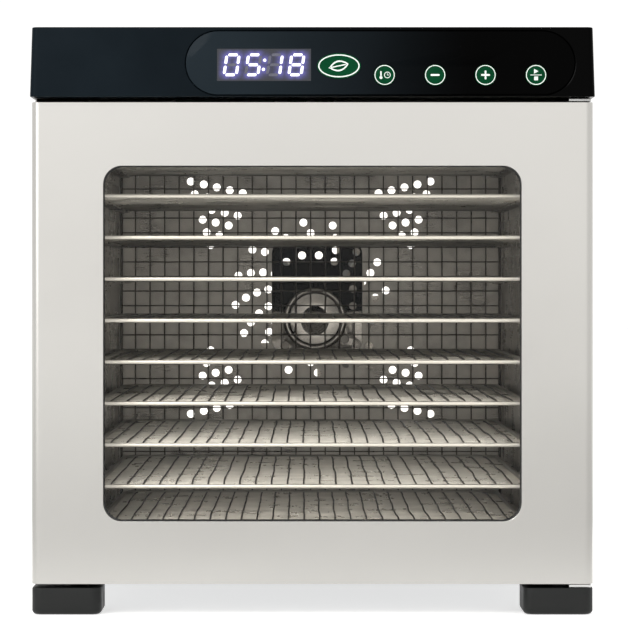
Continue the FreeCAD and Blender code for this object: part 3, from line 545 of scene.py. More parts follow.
# ---- finishes ----
def make_finishes():
    """All of the object's materials, by the name of the record's slot."""
    c = bpy.context.scene.dehydrator_colours
    steel, liner, chrome = tuple(c.steel), tuple(c.liner), tuple(c.chrome)
    black, green = tuple(c.black), tuple(c.green)
    made = {}
    # Ferritic stainless with a fine belt-brushed grain, drawn 0.5 mm wide so that it shows: soft, pale and
    # warm, with long faint streaks in its gloss. Its colour darkens to 0.74 of itself towards its lower
    # edge: painted shade.
    made["door_steel"] = finish(
        "brushed_stainless_door", steel, 1.0, (0.19, 0.25), (120, 0.5, 0.5), 0.0012, patch=140,
        tone=0.01, painted_light_fade=("Z", 220, 35, shaded(steel, 0.74)))
    # The same sheet on the sides, top and back, with its grain running front to back, its colour painted
    # a little darker than the door's, at 0.93: painted shade.
    made["casing_steel"] = finish(
        "brushed_stainless_casing", shaded(steel, 0.93), 1.0, (0.3, 0.38), (0.6, 110, 0.6), 0.005,
        patch=160, tone=0.012)
    # Bright rolled stainless, as it leaves the mill: mirror-like but clouded by fine rolling lines.
    made["inner_steel"] = finish(
        "rolled_stainless_liner", liner, 1.0, (0.2, 0.36), (0.5, 60, 0.5), 0.006, patch=45, tone=0.08)
    # The same sheet on the baffle, its colour painted darker, at 0.75 of the liner's, as painted shade at
    # the back of the chamber, in strong patches of lighter and darker tone.
    made["baffle_steel"] = finish(
        "stainless_baffle_painted_shade", shaded(liner, 0.75), 1.0, (0.24, 0.42), (40, 0.6, 0.6), 0.006,
        patch=42, tone=0.45)
    # Polished stainless of the fan cover: near mirror, with fingermarks.
    made["polished_steel"] = finish(
        "polished_stainless", linear("C2BEB8"), 1.0, (0.08, 0.24), 4, 0.01, patch=22, tone=0.06)
    # The cover over the fan is the same polished steel painted darker, and near black above its ring:
    # a painted reflection of the dark chamber above it.
    made["cover_steel"] = finish(
        "polished_stainless_painted_dark_reflection", linear("A5A19B"), 1.0, (0.1, 0.26), 4, 0.01, patch=18,
        tone=0.1, painted_light_fade=("Z", 226, 230, linear("060709")))
    # Turned steel of its hub, dark in its grooves.
    made["hub_steel"] = finish(
        "turned_dark_steel", linear("56534F"), 1.0, (0.16, 0.34), 1.5, 0.02, patch=6, tone=0.3)
    # Zinc plate on mild steel: dull grey with a faint crystal mottle.
    made["zinc_steel"] = finish(
        "zinc_plated_steel", linear("9A9C9E"), 1.0, (0.38, 0.55), 2.5, 0.01, patch=14, tone=0.12,
        edge=0.8)
    # Satin stainless of the hinge plates.
    made["hinge_steel"] = finish(
        "satin_stainless_hinge", linear("C9C9C8"), 1.0, (0.22, 0.38), (0.4, 30, 0.4), 0.008, patch=18,
        tone=0.06, edge=0.6)
    # Bright nickel-chrome plated wire: smooth, with slight dull patches at the welds.
    made["tray_chrome"] = finish(
        "chrome_plated_rod", chrome, 1.0, (0.34, 0.46), 5, 0.01, patch=25, tone=0.04)
    # The cross wires are the same plating painted lighter, at 1.3 of its colour: a painted highlight of the
    # light in front.
    made["tray_mesh"] = finish(
        "chrome_mesh_wire_painted_lighter", shaded(chrome, 1.3), 1.0, (0.24, 0.4), 5, 0.01, patch=25, tone=0.12)
    # The heavier wires that run front to back, painted dark: a painted reflection of the dark chamber
    # that they face.
    made["tray_stay"] = finish(
        "stay_wire_painted_dark_reflection", linear("4A4642"), 1.0, (0.3, 0.5), 4, 0.015, patch=20, tone=0.2)
    # The guard's plated wire, painted dark brownish grey: painted shade of the dark back of the chamber.
    made["guard_wire"] = finish(
        "guard_wire_painted_shade", linear("5A554F"), 1.0, (0.25, 0.45), 6, 0.01, patch=30, tone=0.2)
    # Turned and nickel-plated screw steel.
    made["screw_steel"] = finish(
        "nickel_plated_screw", linear("BDBCB8"), 1.0, (0.2, 0.4), 1.5, 0.02, patch=8, tone=0.1)
    # Gloss black ABS moulding: deep black with a faint orange-peel and handling smears. Its colour fades
    # from bluish dark at the left to black at the right: a painted sheen.
    made["head_black"] = finish(
        "gloss_abs_head", black, 0.0, (0.14, 0.26), 3, 0.006, patch=70, tone=0.15,
        painted_light_fade=("X", -200, 130, linear("010101")), Specular_IOR_Level=0.03)
    # Hard-coated acrylic fascia, smoother than the moulding, its colour fading from bluish dark at the left
    # to black at the right: a painted sheen.
    made["fascia_black"] = finish(
        "acrylic_fascia", linear("1D2429"), 0.0, (0.1, 0.18), 6, 0.003, patch=60, tone=0.1,
        painted_light_fade=("X", -90, 130, linear("010101")), Specular_IOR_Level=0.02)
    # Screen-printed film over the touch keys, with the ink's fine mottle.
    made["key_green"] = finish(
        "printed_key_film", green, 0.0, (0.2, 0.32), 0.8, 0.008, patch=6, tone=0.12,
        Specular_IOR_Level=0.03)
    made["badge_green"] = finish(
        "printed_badge_film", shaded(green, 1.1), 0.0, (0.2, 0.32), 0.8, 0.008, patch=9, tone=0.12,
        Specular_IOR_Level=0.03)
    # White ink of the rings and symbols, slightly uneven where the screen left it thin.
    made["white_ink"] = finish(
        "white_screen_ink", linear("DDE4DE"), 0.0, (0.4, 0.55), 0.5, 0.01, patch=3, tone=0.08)
    # Smoked polycarbonate over the display block.
    made["display_dark"] = finish(
        "smoked_polycarbonate", linear("221F30"), 0.0, (0.12, 0.2), 2, 0.004, patch=20, tone=0.15)
    # Moulded thermoplastic elastomer with a spark-eroded texture, greyed along its edges.
    made["foot_black"] = finish(
        "moulded_elastomer_foot", linear("090B0A"), 0.0, (0.36, 0.55), 0.7, 0.03, patch=18, tone=0.25,
        edge=1.5, edge_colour=linear("303231"), Specular_IOR_Level=0.3)
    # Extruded silicone rubber: matt, with a dusty bloom.
    made["seal_rubber"] = finish(
        "silicone_rubber_seal", linear("1C1C1C"), 0.0, (0.55, 0.75), 1.2, 0.02, patch=12, tone=0.3)
    # Sintered ferrite of the catches.
    made["magnet_dark"] = finish(
        "sintered_ferrite", linear("47474A"), 0.0, (0.45, 0.65), 0.5, 0.03, patch=4, tone=0.15)
    # Natural nylon bushings, waxy and slightly yellow.
    made["bushing_nylon"] = finish(
        "natural_nylon", linear("DAD6C8"), 0.0, (0.35, 0.5), 2, 0.01, patch=8, tone=0.05,
        Subsurface_Weight=0.1)
    # Pressed aluminium of the fan.
    made["fan_aluminium"] = finish(
        "pressed_aluminium", linear("C4C6C9"), 1.0, (0.3, 0.5), (1.5, 8, 1.5), 0.015, patch=15,
        tone=0.08, edge=0.8)
    # Incoloy heater sheath, straw and blue from its heat.
    made["heater_steel"] = finish(
        "heat_tinted_sheath", linear("7A6A58"), 1.0, (0.35, 0.55), 2, 0.01, patch=20, tone=0.25)
    # Glazed ceramic of the thermal cut-out.
    made["cutout_white"] = finish(
        "glazed_ceramic", linear("E4E0D6"), 0.0, (0.12, 0.25), 3, 0.01, patch=6, tone=0.05,
        Coat_Weight=0.6)
    # Glass-filled nylon of the mains inlet, with a fine moulded texture.
    made["inlet_black"] = finish(
        "glass_filled_nylon", linear("202022"), 0.0, (0.42, 0.6), 0.6, 0.03, patch=10, tone=0.2,
        edge=0.8, edge_colour=linear("3C3C3E"))
    # Braided glass-fibre sleeve over the wires, its braid drawn 1.2 mm long.
    made["cable_grey"] = finish(
        "braided_sleeve", linear("8A8984"), 0.0, (0.6, 0.8), (1.2, 1.2, 2.4), 0.15, patch=9, tone=0.2)
    # Brass contact pins, bright where a plug wipes them.
    made["pin_brass"] = finish(
        "plated_brass_pin", linear("C9BFA0"), 1.0, (0.18, 0.35), (0.5, 6, 0.5), 0.01, patch=5, tone=0.08)
    made["motor_dark"] = laminated_steel()
    made["board_green"] = circuit_board()
    made["window_glass"] = toughened_glass()
    made["lit_segment"] = led_light(tuple(c.led))
    made["unlit_segment"] = finish(
        "unlit_segment_window", linear("4A4A58"), 0.0, (0.3, 0.4), 1, 0.005, patch=5, tone=0.1)
    made["display_glow"] = glow_film()
    return made


def laminated_steel():
    """Stacked and varnished steel laminations, 1 mm apart so that the stack shows from its edges."""
    material, tree, shader = new_material("varnished_laminations")
    place = object_place(tree)
    stack = add(tree, "ShaderNodeTexWave", {"Vector": place, "Scale": 1000 / 20, "Distortion": 0.3,
                                           "Detail": 1.0}, bands_direction="Y").outputs["Fac"]
    tone = blend(tree, noise(tree, place, 120.0, 3.0), linear("2C2A2B"), linear("55524F"))
    give(tree, shader, {"Base Color": tone, "Roughness": ranged(tree, stack, end=(0.3, 0.6)),
                        "Normal": bumped(tree, stack, 0.1 * MM), "Metallic": 0.8})
    return material


def circuit_board():
    """Solder mask over copper tracks: two greens in runs 2 mm apart, raised where the copper is."""
    material, tree, shader = new_material("solder_masked_board")
    place = object_place(tree)
    bricks = {"Vector": place, "Color1": (1, 1, 1, 1), "Color2": (0.4, 0.4, 0.4, 1), "Mortar": (0, 0, 0, 1),
              "Scale": 1000 / 8, "Mortar Size": 0.06, "Brick Width": 1.3, "Row Height": 0.25}
    runs = add(tree, "ShaderNodeTexBrick", bricks).outputs["Color"]
    cells = add(tree, "ShaderNodeTexVoronoi", {"Vector": place, "Scale": 1000 / 9}, distance="CHEBYCHEV",
                feature="F1").outputs["Distance"]
    mixed = maths(tree, "MULTIPLY", runs, cells)
    give(tree, shader, {"Base Color": blend(tree, mixed, linear("0E3B24"), linear("1F7A47")),
                        "Roughness": ranged(tree, mixed, end=(0.25, 0.45)),
                        "Normal": bumped(tree, mixed, 0.05 * MM)})
    return material


def toughened_glass():
    """Clear toughened glass, coated so that it reflects little, with traces of wiping in its gloss."""
    material, tree, shader = new_material("toughened_float_glass")
    wiped = add(tree, "ShaderNodeMapping", {"Vector": object_place(tree), "Scale": (8.0, 1.0, 30.0),
                                           "Rotation": (0, 0.5, 0)}).outputs[0]
    gloss = ranged(tree, noise(tree, wiped, 1.0, 5.0), (0.4, 0.8), (0.0, 0.03))
    give(tree, shader, {"Base Color": linear("F8F6F2"), "Transmission Weight": 1.0, "IOR": 1.2,
                        "Roughness": gloss})
    return material


def led_light(colour):
    """A lit segment: white, speckled with slight violet where the diffuser thins."""
    material, tree, shader = new_material("lit_led_segment")
    speck = noise(tree, object_place(tree), 1000 / 2.5, 1.0)
    tone = blend(tree, speck, shaded(colour, 0.85), (1.0, 1.0, 1.0, 1.0))
    give(tree, shader, {"Emission Color": tone, "Base Color": linear("808090"), "Emission Strength": 1.6})
    return material


def glow_film():
    """Diffusing film under the digits, which glows violet around the lit ones by the glow attribute."""
    material, tree, shader = new_material("display_diffuser_film")
    glow = add(tree, "ShaderNodeAttribute", attribute_name="glow").outputs["Fac"]
    uneven = ranged(tree, noise(tree, object_place(tree), 1000 / 1.5, 2.0), end=(0.75, 1.2))
    tone = blend(tree, maths(tree, "MULTIPLY", glow, uneven), linear("000000"), linear("5A55A8"))
    give(tree, shader, {"Emission Color": tone, "Emission Strength": 1.0, "Base Color": linear("1A1C22"),
                        "Roughness": 0.25})
    return material


FINISHES = {}


# ---- tools, one for each piece or group of like pieces ----
class DEHYDRATOR_OT_stage(bpy.types.Operator):
    """Sets the floor, the soft studio light and the camera"""
    bl_idname = "dehydrator.stage"
    bl_label = "Stage"

    def execute(self, context):
        scene = context.scene
        scene.view_settings.view_transform = "Standard"
        camera = bpy.data.objects.new("camera", bpy.data.cameras.new("camera"))
        camera.data.lens = 157.0
        camera.data.shift_x = 0.0187
        camera.data.shift_y = -0.056
        camera.data.clip_end = 60.0
        camera.location = (-0.008, -2.3975, 0.2533)
        camera.rotation_euler = (math.radians(90), 0, 0)
        scene.collection.objects.link(camera)
        scene.camera = camera
        self.floor(scene)
        self.lamps(scene)
        self.sky(scene)
        return {"FINISHED"}

    def floor(self, scene):
        """A wide pale floor just under the feet."""
        bm = bmesh.new()
        bmesh.ops.create_grid(bm, x_segments=8, y_segments=8, size=15.0)
        bmesh.ops.translate(bm, verts=bm.verts, vec=(0, 0, -0.4 * MM))
        floor = bpy.data.objects.new("floor", meshed(bm, "floor"))
        # Matt opal acrylic of a light table, lit softly from below, with a faint mottle.
        board = finish("backlit_white_acrylic", linear("D3D3D2"), 0.0, (0.75, 0.9), 4, 0.05, patch=300,
                       tone=0.01, Emission_Color=(1.0, 1.0, 1.0, 1.0), Emission_Strength=0.7)
        self.glow_near(board.node_tree)
        floor.data.materials.append(board)
        scene.collection.objects.link(floor)

    def glow_near(self, tree):
        """Lets the table's own light fall off away from the object, which it only frees of its shadow."""
        shader = next(node for node in tree.nodes if node.type == "BSDF_PRINCIPLED")
        place = object_place(tree)
        away = add(tree, "ShaderNodeVectorMath", {0: place}, operation="LENGTH").outputs["Value"]
        level = ranged(tree, away, (0.45, 0.9), (0.6, 0.0), True)
        behind = ranged(tree, split(tree, place)["Y"], (0.2, 0.8), (0.0, 0.25), True)
        give(tree, shader, {"Emission Strength": maths(tree, "MAXIMUM", level, behind)})

    def lamps(self, scene):
        """Name, place, size, power and what it is aimed at, for each soft box."""
        rows = (("key", (-0.9, -1.9, 1.7), 1.0, 24.0, (0, -0.2, 0.25)),
                ("left", (-1.5, -1.5, 0.7), 1.0, 4.0, (-0.1, -0.2, 0.3)),
                ("top", (0.2, 0.2, 2.6), 2.0, 10.0, (0, 0, 0.3)))
        for name, place, size, power, target in rows:
            aim = Vector(target) - Vector(place)
            self.lamp(scene, name, (size, size), power, place, aim.to_track_quat("-Z", "Y").to_euler())
        self.air_lamps(scene)

    def lamp(self, scene, name, size, power, place, turn):
        light = bpy.data.lights.new(name, "AREA")
        light.shape = "RECTANGLE"
        light.size, light.size_y = size
        light.energy = power
        holder = bpy.data.objects.new(name, light)
        holder.location = place
        holder.rotation_euler = turn
        scene.collection.objects.link(holder)

    def air_lamps(self, scene):
        """Lights the chamber through its opening, and the space behind the baffle, which shows white
        through some groups of its holes."""
        low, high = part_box("fan_baffle")
        middle_z = (low.z + high.z) / 2 + HOLES_UP
        width, height = 344 * MM, 328 * MM
        into, out = (math.radians(90), 0, 0), (math.radians(-90), 0, 0)
        self.lamp(scene, "into_chamber", (width, height), 0.7 * math.pi * width * height,
                  (0, -212 * MM, 214 * MM), into)
        # Across, up, width and height of each soft box, in millimetres.
        areas = [(side * 89, up * 77, 62, 74) for side in (-1, 1) for up in (-1, 1)]
        areas += [(-8, 55, 64, 42), (-58, 4, 44, 92), (63, 23, 26, 42), (-12, -72, 36, 24)]
        for number, (x, z, width, height) in enumerate(areas):
            size = (width * MM, height * MM)
            self.lamp(scene, f"behind_baffle_{number}", size, 1.8 * math.pi * size[0] * size[1],
                      (x * MM, high.y + 2 * MM, middle_z + z * MM), out)

    def sky(self, scene):
        """White behind the object and softer white in front, darker to the sides to shape the edges."""
        world = bpy.data.worlds.new("studio")
        scene.world = world
        world.use_nodes = True
        tree = world.node_tree
        tree.nodes.clear()
        parts = split(tree, add(tree, "ShaderNodeTexCoord").outputs["Generated"])
        side = maths(tree, "ABSOLUTE", parts["X"])
        dim = ranged(tree, side, (0.35, 0.85), (1.0, 0.74), True)
        above = ranged(tree, parts["Z"], (-0.05, 0.14), (1.0, 1.28), True)
        front = ranged(tree, parts["Y"], (0.55, 0.92), (above, 1.08), True)
        level = maths(tree, "MULTIPLY", dim, front)
        glow = add(tree, "ShaderNodeBackground", {"Color": (1.0, 0.995, 0.985, 1.0), "Strength": level})
        add(tree, "ShaderNodeOutputWorld", {"Surface": glow.outputs[0]})


def vent_lip():
    """A pressed lip around one vent slot: a low rounded rim that stands out of the sheet along +Z."""
    bm = bmesh.new()
    levels = ((1.45, 19.95, -0.1), (1.5, 20.0, 0.35), (1.8, 20.3, 0.6), (2.2, 20.7, 0.45),
              (2.6, 21.1, -0.05))
    rings = []
    for half_w, half_h, rise in levels:
        turned = [(y, x) for x, y in bar(2 * half_h * MM, 2 * half_w * MM, 4)]
        rings.append([bm.verts.new((x, y, rise * MM)) for x, y in turned])
    for lower, upper in zip(rings, rings[1:]):
        for n in range(len(lower)):
            k = (n + 1) % len(lower)
            bm.faces.new((lower[n], lower[k], upper[k], upper[n]))
    bmesh.ops.recalc_face_normals(bm, faces=bm.faces)
    if sum(face.normal.z for face in bm.faces) < 0:
        bmesh.ops.reverse_faces(bm, faces=bm.faces)
    return meshed(bm, "vent_lip", 50)


class DEHYDRATOR_OT_casing(bpy.types.Operator):
    """Finishes the casing's sheets and adds the pressed lips around the rear vents"""
    bl_idname = "dehydrator.casing"
    bl_label = "Casing"

    def execute(self, context):
        steel = FINISHES["casing_steel"]
        for node in ("side_panel_left", "side_panel_right", "top_panel", "rear_cover"):
            paint(node, steel)
        paint("base_pan", FINISHES["zinc_steel"])
        paint("front_frame", FINISHES["inner_steel"])
        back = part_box("rear_cover")[1].y
        first = -VENT_PITCH * (VENT_SLOTS - 1) / 2
        places = [(first + VENT_PITCH * n, back, z) for z in VENT_ROWS for n in range(VENT_SLOTS)]
        lips = copied("vent_lips", vent_lip(), places, (math.radians(-90), 0, 0), steel)
        piece("vent_lips", lips, "cabinet")
        return {"FINISHED"}


class DEHYDRATOR_OT_chamber(bpy.types.Operator):
    """Finishes the chamber's lining, runners, baffle and wire guard"""
    bl_idname = "dehydrator.chamber"
    bl_label = "Chamber"

    def execute(self, context):
        for node in ("liner_left", "liner_right", "liner_floor", "liner_ceiling", "liner_back",
                     "tray_runners", "strike_plates"):
            paint(node, FINISHES["inner_steel"])
        paint("fan_baffle", FINISHES["baffle_steel"])
        paint("baffle_standoffs", FINISHES["screw_steel"])
        paint("temperature_probe", FINISHES["polished_steel"])
        self.guard(context)
        return {"FINISHED"}

    def guard(self, context):
        """The square wire guard in front of the baffle."""
        sizes = context.scene.dehydrator_sizes
        low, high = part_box("guard_grid")
        width, height = high.x - low.x, high.z - low.z
        values = {"Width": width, "Length": height, "Rod": 2.4 * MM, "Wire": sizes.guard_wire,
                  "Pitch": sizes.guard_pitch, "Wires Along": 25, "Wires Across": 24, "Corner": 3 * MM,
                  "Lift": 0.4 * MM, "Bend": 10 * MM, "Waviness": 0.4 * MM, "Seed": 0.5}
        mesh = wire_panel("wire_guard", values, ("guard_wire",) * 3)
        place = Matrix.Translation(((low.x + high.x) / 2, high.y, (low.z + high.z) / 2))
        mesh.transform(place @ Matrix.Rotation(math.radians(90), 4, "X"))
        piece("wire_guard", mesh, "cabinet", ("guard_grid",))


class DEHYDRATOR_OT_trays(bpy.types.Operator):
    """Makes the ten welded wire trays"""
    bl_idname = "dehydrator.trays"
    bl_label = "Trays"

    def execute(self, context):
        sizes = context.scene.dehydrator_sizes
        for number, body in enumerate(TRAY_BODIES):
            low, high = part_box(body)
            values = {"Width": high.x - low.x, "Length": high.y - low.y, "Rod": sizes.tray_rod,
                      "Wire": sizes.tray_wire, "Pitch": sizes.tray_pitch, "Wires Along": 26,
                      "Wires Across": 29, "Corner": 10 * MM, "Lift": 1.2 * MM, "Bend": sizes.tray_bend,
                      "Waviness": 1.4 * MM, "Seed": sizes.seed + 1.7 * number}
            mesh = wire_panel("wire_" + body, values, ("tray_stay", "tray_mesh", "tray_chrome"))
            mesh.transform(Matrix.Translation((low + high) / 2))
            piece("wire_" + body, mesh, body, (body,))
        return {"FINISHED"}


class DEHYDRATOR_OT_air(bpy.types.Operator):
    """Finishes the fan, its motor and cover, and the heater"""
    bl_idname = "dehydrator.air"
    bl_label = "Fan and heater"

    def execute(self, context):
        paint("fan_shaft", FINISHES["screw_steel"])
        paint("motor_strap", FINISHES["zinc_steel"])
        paint("heater_element", FINISHES["heater_steel"])
        paint("thermal_cutout", FINISHES["cutout_white"])
        eased_piece("fan_blade", 0.3 * MM, "fan", "fan_aluminium")
        eased_piece("fan_motor", 0.6 * MM, "cabinet", "motor_dark")
        eased_piece("fan_cover", 0.5 * MM, "cabinet", "polished_steel", look="cover_steel")
        self.hub()
        return {"FINISHED"}

    def hub(self):
        """The bright ring and dish on the fan cover, and the turned dark hub in their middle."""
        centre = middle("fan_shaft")
        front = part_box("fan_cover")[1].y - 1.0 * MM
        turn = Matrix.Rotation(math.radians(90), 4, "X")
        dish = ((0, 0.5), (12, 0.5), (22.0, 0.35), (23.4, 0.6), (24.0, 1.6), (25.0, 2.5), (26.5, 3.0),
                (28.0, 2.5), (29.0, 1.6), (29.5, 0.3), (29.5, -0.2), (0, -0.2))
        hub = ((0, 5.6), (3.0, 5.6), (3.2, 4.6), (4.6, 4.6), (4.8, 3.7), (5.0, 4.1), (6.6, 4.1), (6.8, 3.0),
               (7.0, 3.4), (8.6, 3.4), (8.8, 2.2), (9.0, 2.6), (10.6, 2.6), (10.8, 1.4), (11.0, 1.8),
               (12.4, 1.8), (12.9, 0.2), (12.9, -0.2), (0, -0.2))
        for name, steps, finish_name, drop in (("cover_dish", dish, "polished_steel", 0),
                                               ("cover_hub", hub, "hub_steel", 2.5)):
            place = Matrix.Translation((centre.x, front, centre.z - drop * MM)) @ turn
            mesh = lathe([(radius * MM, height * MM) for radius, height in steps], place, 56, name)
            piece(name, mesh, "cabinet", (), FINISHES[finish_name])


class DEHYDRATOR_OT_door(bpy.types.Operator):
    """Finishes the door's pan, glass, gasket and seal"""
    bl_idname = "dehydrator.door"
    bl_label = "Door"

    def execute(self, context):
        sizes = context.scene.dehydrator_sizes
        paint("door_inner_frame", FINISHES["inner_steel"])
        rows = (("door_skin", "door_steel", sizes.sheet_edge), ("window_gasket", "seal_rubber", 0.3 * MM),
                ("door_seal", "seal_rubber", 1.2 * MM), ("door_magnets", "magnet_dark", 0.5 * MM),
                ("hinge_bushings", "bushing_nylon", 0.3 * MM))
        for node, slot, radius in rows:
            eased_piece(node, radius, "door", slot)
        paint("window_glass", FINISHES["window_glass"])
        frame["nodes"]["window_glass"].visible_shadow = False
        return {"FINISHED"}


class DEHYDRATOR_OT_hinge(bpy.types.Operator):
    """Finishes the hinge plates and pins"""
    bl_idname = "dehydrator.hinge"
    bl_label = "Hinge"

    def execute(self, context):
        eased_piece("hinge_brackets", 0.4 * MM, "cabinet", "hinge_steel", "hinge_plates")
        paint("hinge_pins", FINISHES["screw_steel"])
        return {"FINISHED"}


class DEHYDRATOR_OT_head(bpy.types.Operator):
    """Finishes the control head, its fascia, boards and badge"""
    bl_idname = "dehydrator.head"
    bl_label = "Control head"

    def execute(self, context):
        sizes = context.scene.dehydrator_sizes
        eased_piece("control_housing", sizes.moulded_edge, "cabinet", "head_black")
        eased_piece("control_fascia", 0.25 * MM, "cabinet", "fascia_black")
        eased_piece("badge", 0.2 * MM, "cabinet", "badge_green")
        paint("display_module", FINISHES["display_dark"])
        paint("control_board", FINISHES["board_green"])
        paint("power_board", FINISHES["board_green"])
        self.badge_print()
        return {"FINISHED"}

    def badge_print(self):
        """A white rim and a plain leaf on the badge."""
        low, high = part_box("badge")
        centre = FACE.inverted() @ ((low + high) / 2)
        half_w, half_h = (high.x - low.x) / 2, BADGE_HALF_HEIGHT
        rim = [oval(half_w - inset, half_h - inset, 64) for inset in (1.0 * MM, 1.9 * MM)]
        shares = [n / 16 for n in range(17)]
        leaf = [(-7.5 * MM + 15 * MM * share, 4.2 * MM * math.sin(math.pi * share) ** 0.8)
                for share in shares]
        leaf += [(x, -y) for x, y in leaf[-2:0:-1]]
        inner = [(x * 0.82, y * 0.72) for x, y in leaf]
        shapes = [tuple(moved(line, centre.x, centre.y) for line in rim),
                  tuple(moved(line, centre.x, centre.y, 12) for line in (leaf, inner))]
        shapes.append(moved(bar(13.5 * MM, 0.8 * MM), centre.x - 1.2 * MM, centre.y - 0.25 * MM, 12))
        mesh = prints("badge_print", shapes, 0.5 * MM)
        piece("badge_print", mesh, "cabinet", (), FINISHES["white_ink"])


class DEHYDRATOR_OT_display(bpy.types.Operator):
    """Makes the clock's lit and unlit segments and the glow around them"""
    bl_idname = "dehydrator.display"
    bl_label = "Display"

    lit = ("abcdef", "acdfg", "bc", "abcdefg")

    def execute(self, context):
        height = context.scene.dehydrator_sizes.digit_height
        centre = FACE.inverted() @ middle("display_module")
        on, off = self.segments(height, centre)
        rows = (("lit_segment", on, 0.16 * MM, 0.1 * MM), ("unlit_segment", off, 0.12 * MM, 0.05 * MM))
        for name, lines, w, thickness in rows:
            mesh = prints(name + "s", lines, w, thickness)
            piece(name + "s", mesh, "cabinet", (), FINISHES[name])
        self.film(on, centre)
        return {"FINISHED"}

    def segments(self, height, centre):
        """Outlines of the lit and unlit bars, slanted and in place on the face."""
        width, thick, lean = height * 0.53, height * 0.125, math.tan(math.radians(8))
        long, tall = width - thick * 0.6, height / 2 - thick * 0.75
        shapes = {"a": (0, height / 2, long, 0), "g": (0, 0, long, 0), "d": (0, -height / 2, long, 0),
                  "f": (-width / 2, height / 4, tall, 90), "b": (width / 2, height / 4, tall, 90),
                  "e": (-width / 2, -height / 4, tall, 90), "c": (width / 2, -height / 4, tall, 90)}
        on, off = [], []
        for number, lit in enumerate(self.lit):
            u = centre.x + (number - 1.5) * height * 0.93
            for letter, (x, y, length, turn) in shapes.items():
                line = moved(bar(length - thick * 0.35, thick), x, y * (1 - thick / height), turn)
                slanted = [(u + px + py * lean, centre.y + py) for px, py in line]
                (on if letter in lit else off).append(slanted)
        for up in (-0.2, 0.2):
            y = height * up
            on.append(moved(oval(thick * 0.55, thick * 0.55, 14), centre.x + y * lean, centre.y + y))
        return on, off

    def film(self, on, centre):
        """A thin film whose glow attribute falls off with the distance to the nearest lit bar."""
        half_u, half_v = 36 * MM, 12.5 * MM
        bm = bmesh.new()
        bmesh.ops.create_grid(bm, x_segments=96, y_segments=34, size=1.0)
        bmesh.ops.scale(bm, vec=(half_u, half_v, 1), verts=bm.verts)
        bmesh.ops.translate(bm, vec=(centre.x, centre.y, 0.06 * MM), verts=bm.verts)
        spots = [Vector(point) for line in on for point in line]
        spots += [Vector((sum(x for x, y in line), sum(y for x, y in line))) / len(line) for line in on]
        levels = []
        for vert in bm.verts:
            here = vert.co.xy
            near = min((here - spot).length for spot in spots)
            rim = min(half_u - abs(here.x - centre.x), half_v - abs(here.y - centre.y)) / (2 * MM)
            levels.append(math.exp(-((near / (2.6 * MM)) ** 1.3)) * min(max(rim, 0.0), 1.0))
        bmesh.ops.transform(bm, matrix=FACE, verts=bm.verts)
        mesh = meshed(bm, "display_film")
        glow = mesh.attributes.new("glow", "FLOAT", "POINT")
        glow.data.foreach_set("value", levels)
        piece("display_film", mesh, "cabinet", (), FINISHES["display_glow"])


class DEHYDRATOR_OT_keys(bpy.types.Operator):
    """Finishes the four touch keys and prints a ring and a symbol on each"""
    bl_idname = "dehydrator.keys"
    bl_label = "Keys"

    def execute(self, context):
        for key in KEYS:
            eased_piece(key, 0.25 * MM, key, "key_green", key + "_cap")
            low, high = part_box(key)
            u = (low.x + high.x) / 2
            radius = (high.x - low.x) / 2
            ring = tuple(oval(radius - inset, radius - inset) for inset in (0.5 * MM, 1.1 * MM))
            shapes = [ring] + getattr(self, key)()
            shapes = [tuple(moved(line, u, KEY_ROW) for line in shape) if isinstance(shape, tuple)
                      else moved(shape, u, KEY_ROW) for shape in shapes]
            mesh = prints(key + "_print", shapes, 0.6 * MM)
            piece(key + "_print", mesh, key, (), FINISHES["white_ink"])
        return {"FINISHED"}

    def key_mode(self):
        """A thermometer beside a clock face."""
        clock = (oval(2.5 * MM, 2.5 * MM, 24), oval(2.0 * MM, 2.0 * MM, 24))
        shapes = [tuple(moved(line, 2.1 * MM, 0) for line in clock)]
        shapes.append(moved(bar(1.6 * MM, 0.4 * MM), 2.1 * MM, 0.6 * MM, 90))
        shapes.append(moved(bar(1.4 * MM, 0.4 * MM), 2.6 * MM, 0, 0))
        shapes.append(moved(oval(1.15 * MM, 1.15 * MM, 16), -2.8 * MM, -2.0 * MM))
        shapes.append(moved(bar(5.0 * MM, 1.0 * MM), -2.8 * MM, 0.6 * MM, 90))
        return shapes

    def key_minus(self):
        return [bar(7.0 * MM, 1.4 * MM)]

    def key_plus(self):
        return [bar(7.0 * MM, 1.4 * MM), moved(bar(2.8 * MM, 1.4 * MM), 0, 2.1 * MM, 90),
                moved(bar(2.8 * MM, 1.4 * MM), 0, -2.1 * MM, 90)]

    def key_start(self):
        """A run triangle over a stop square, with a line between them."""
        run = [(-1.5 * MM, 1.0 * MM), (1.8 * MM, 2.9 * MM), (-1.5 * MM, 4.8 * MM)]
        stop = [(-1.5 * MM, -4.2 * MM), (1.5 * MM, -4.2 * MM), (1.5 * MM, -1.2 * MM),
                (-1.5 * MM, -1.2 * MM)]
        return [run, stop, bar(9.0 * MM, 0.5 * MM)]


class DEHYDRATOR_OT_feet(bpy.types.Operator):
    """Finishes the four moulded feet"""
    bl_idname = "dehydrator.feet"
    bl_label = "Feet"

    def execute(self, context):
        for node in ("front_feet", "rear_feet"):
            eased_piece(node, 1.0 * MM, "cabinet", "foot_black", segments=3)
        return {"FINISHED"}


class DEHYDRATOR_OT_inlet(bpy.types.Operator):
    """Finishes the mains inlet and the wiring"""
    bl_idname = "dehydrator.inlet"
    bl_label = "Mains inlet"

    def execute(self, context):
        eased_piece("power_inlet", 0.5 * MM, "cabinet", "inlet_black", "inlet_moulding")
        paint("wiring_harness", FINISHES["cable_grey"])
        return {"FINISHED"}


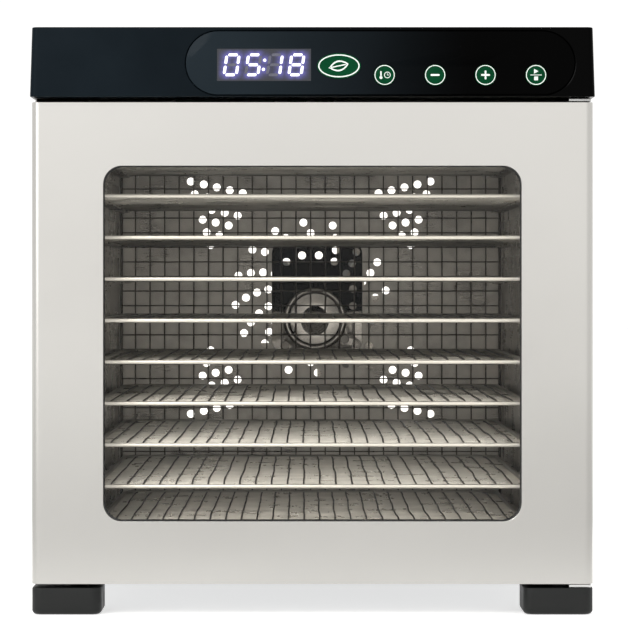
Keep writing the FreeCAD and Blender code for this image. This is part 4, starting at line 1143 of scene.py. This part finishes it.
class DEHYDRATOR_OT_screws(bpy.types.Operator):
    """Makes the pan-head screws of the door, the back and the feet"""
    bl_idname = "dehydrator.screws"
    bl_label = "Screws"

    def execute(self, context):
        steel = FINISHES["screw_steel"]
        made = {}
        for name, (sides, depth, heights, sizes) in SCREWS.items():
            places = [Vector((x, y, z)) * MM for x in sides for y in depth for z in heights]
            turn = (0, 0, 0) if name == "foot" else (math.radians(-90), 0, 0)
            screw = pan_screw(*(size * MM for size in sizes))
            made[name] = copied("pan_screws", screw, places, turn, steel)
        piece("door_pan_screws", made["door"], "door", ("door_screws",))
        both = bmesh.new()
        both.from_mesh(made["back"])
        both.from_mesh(made["foot"])
        mesh = meshed(both, "cabinet_pan_screws", 30)
        piece("cabinet_pan_screws", mesh, "cabinet", ("cabinet_screws",), steel)
        return {"FINISHED"}


OPERATORS = (DEHYDRATOR_OT_stage, DEHYDRATOR_OT_casing, DEHYDRATOR_OT_chamber, DEHYDRATOR_OT_trays,
             DEHYDRATOR_OT_air, DEHYDRATOR_OT_door, DEHYDRATOR_OT_hinge, DEHYDRATOR_OT_head,
             DEHYDRATOR_OT_display, DEHYDRATOR_OT_keys, DEHYDRATOR_OT_feet, DEHYDRATOR_OT_inlet,
             DEHYDRATOR_OT_screws)


class DEHYDRATOR_PT_tools(bpy.types.Panel):
    """Lists the settings and the tools"""
    bl_idname = "DEHYDRATOR_PT_tools"
    bl_label = "Dehydrator"
    bl_space_type = "VIEW_3D"
    bl_region_type = "UI"
    bl_category = "Dehydrator"

    def draw(self, context):
        for group in (context.scene.dehydrator_sizes, context.scene.dehydrator_colours):
            box = self.layout.box()
            for name in group.bl_rna.properties.keys():
                if name not in ("rna_type", "name"):
                    box.prop(group, name)
        for operator in OPERATORS:
            self.layout.operator(operator.bl_idname)


CLASSES = (DehydratorSizes, DehydratorColours) + OPERATORS + (DEHYDRATOR_PT_tools,)


def register():
    for cls in CLASSES:
        bpy.utils.register_class(cls)
    bpy.types.Scene.dehydrator_sizes = PointerProperty(type=DehydratorSizes)
    bpy.types.Scene.dehydrator_colours = PointerProperty(type=DehydratorColours)


def unregister():
    del bpy.types.Scene.dehydrator_colours
    del bpy.types.Scene.dehydrator_sizes
    for cls in reversed(CLASSES):
        bpy.utils.unregister_class(cls)


def main():
    register()
    FINISHES.update(make_finishes())
    for operator in OPERATORS:
        group, name = operator.bl_idname.split(".")
        getattr(getattr(bpy.ops, group), name)()


if __name__ == "__main__":
    main()
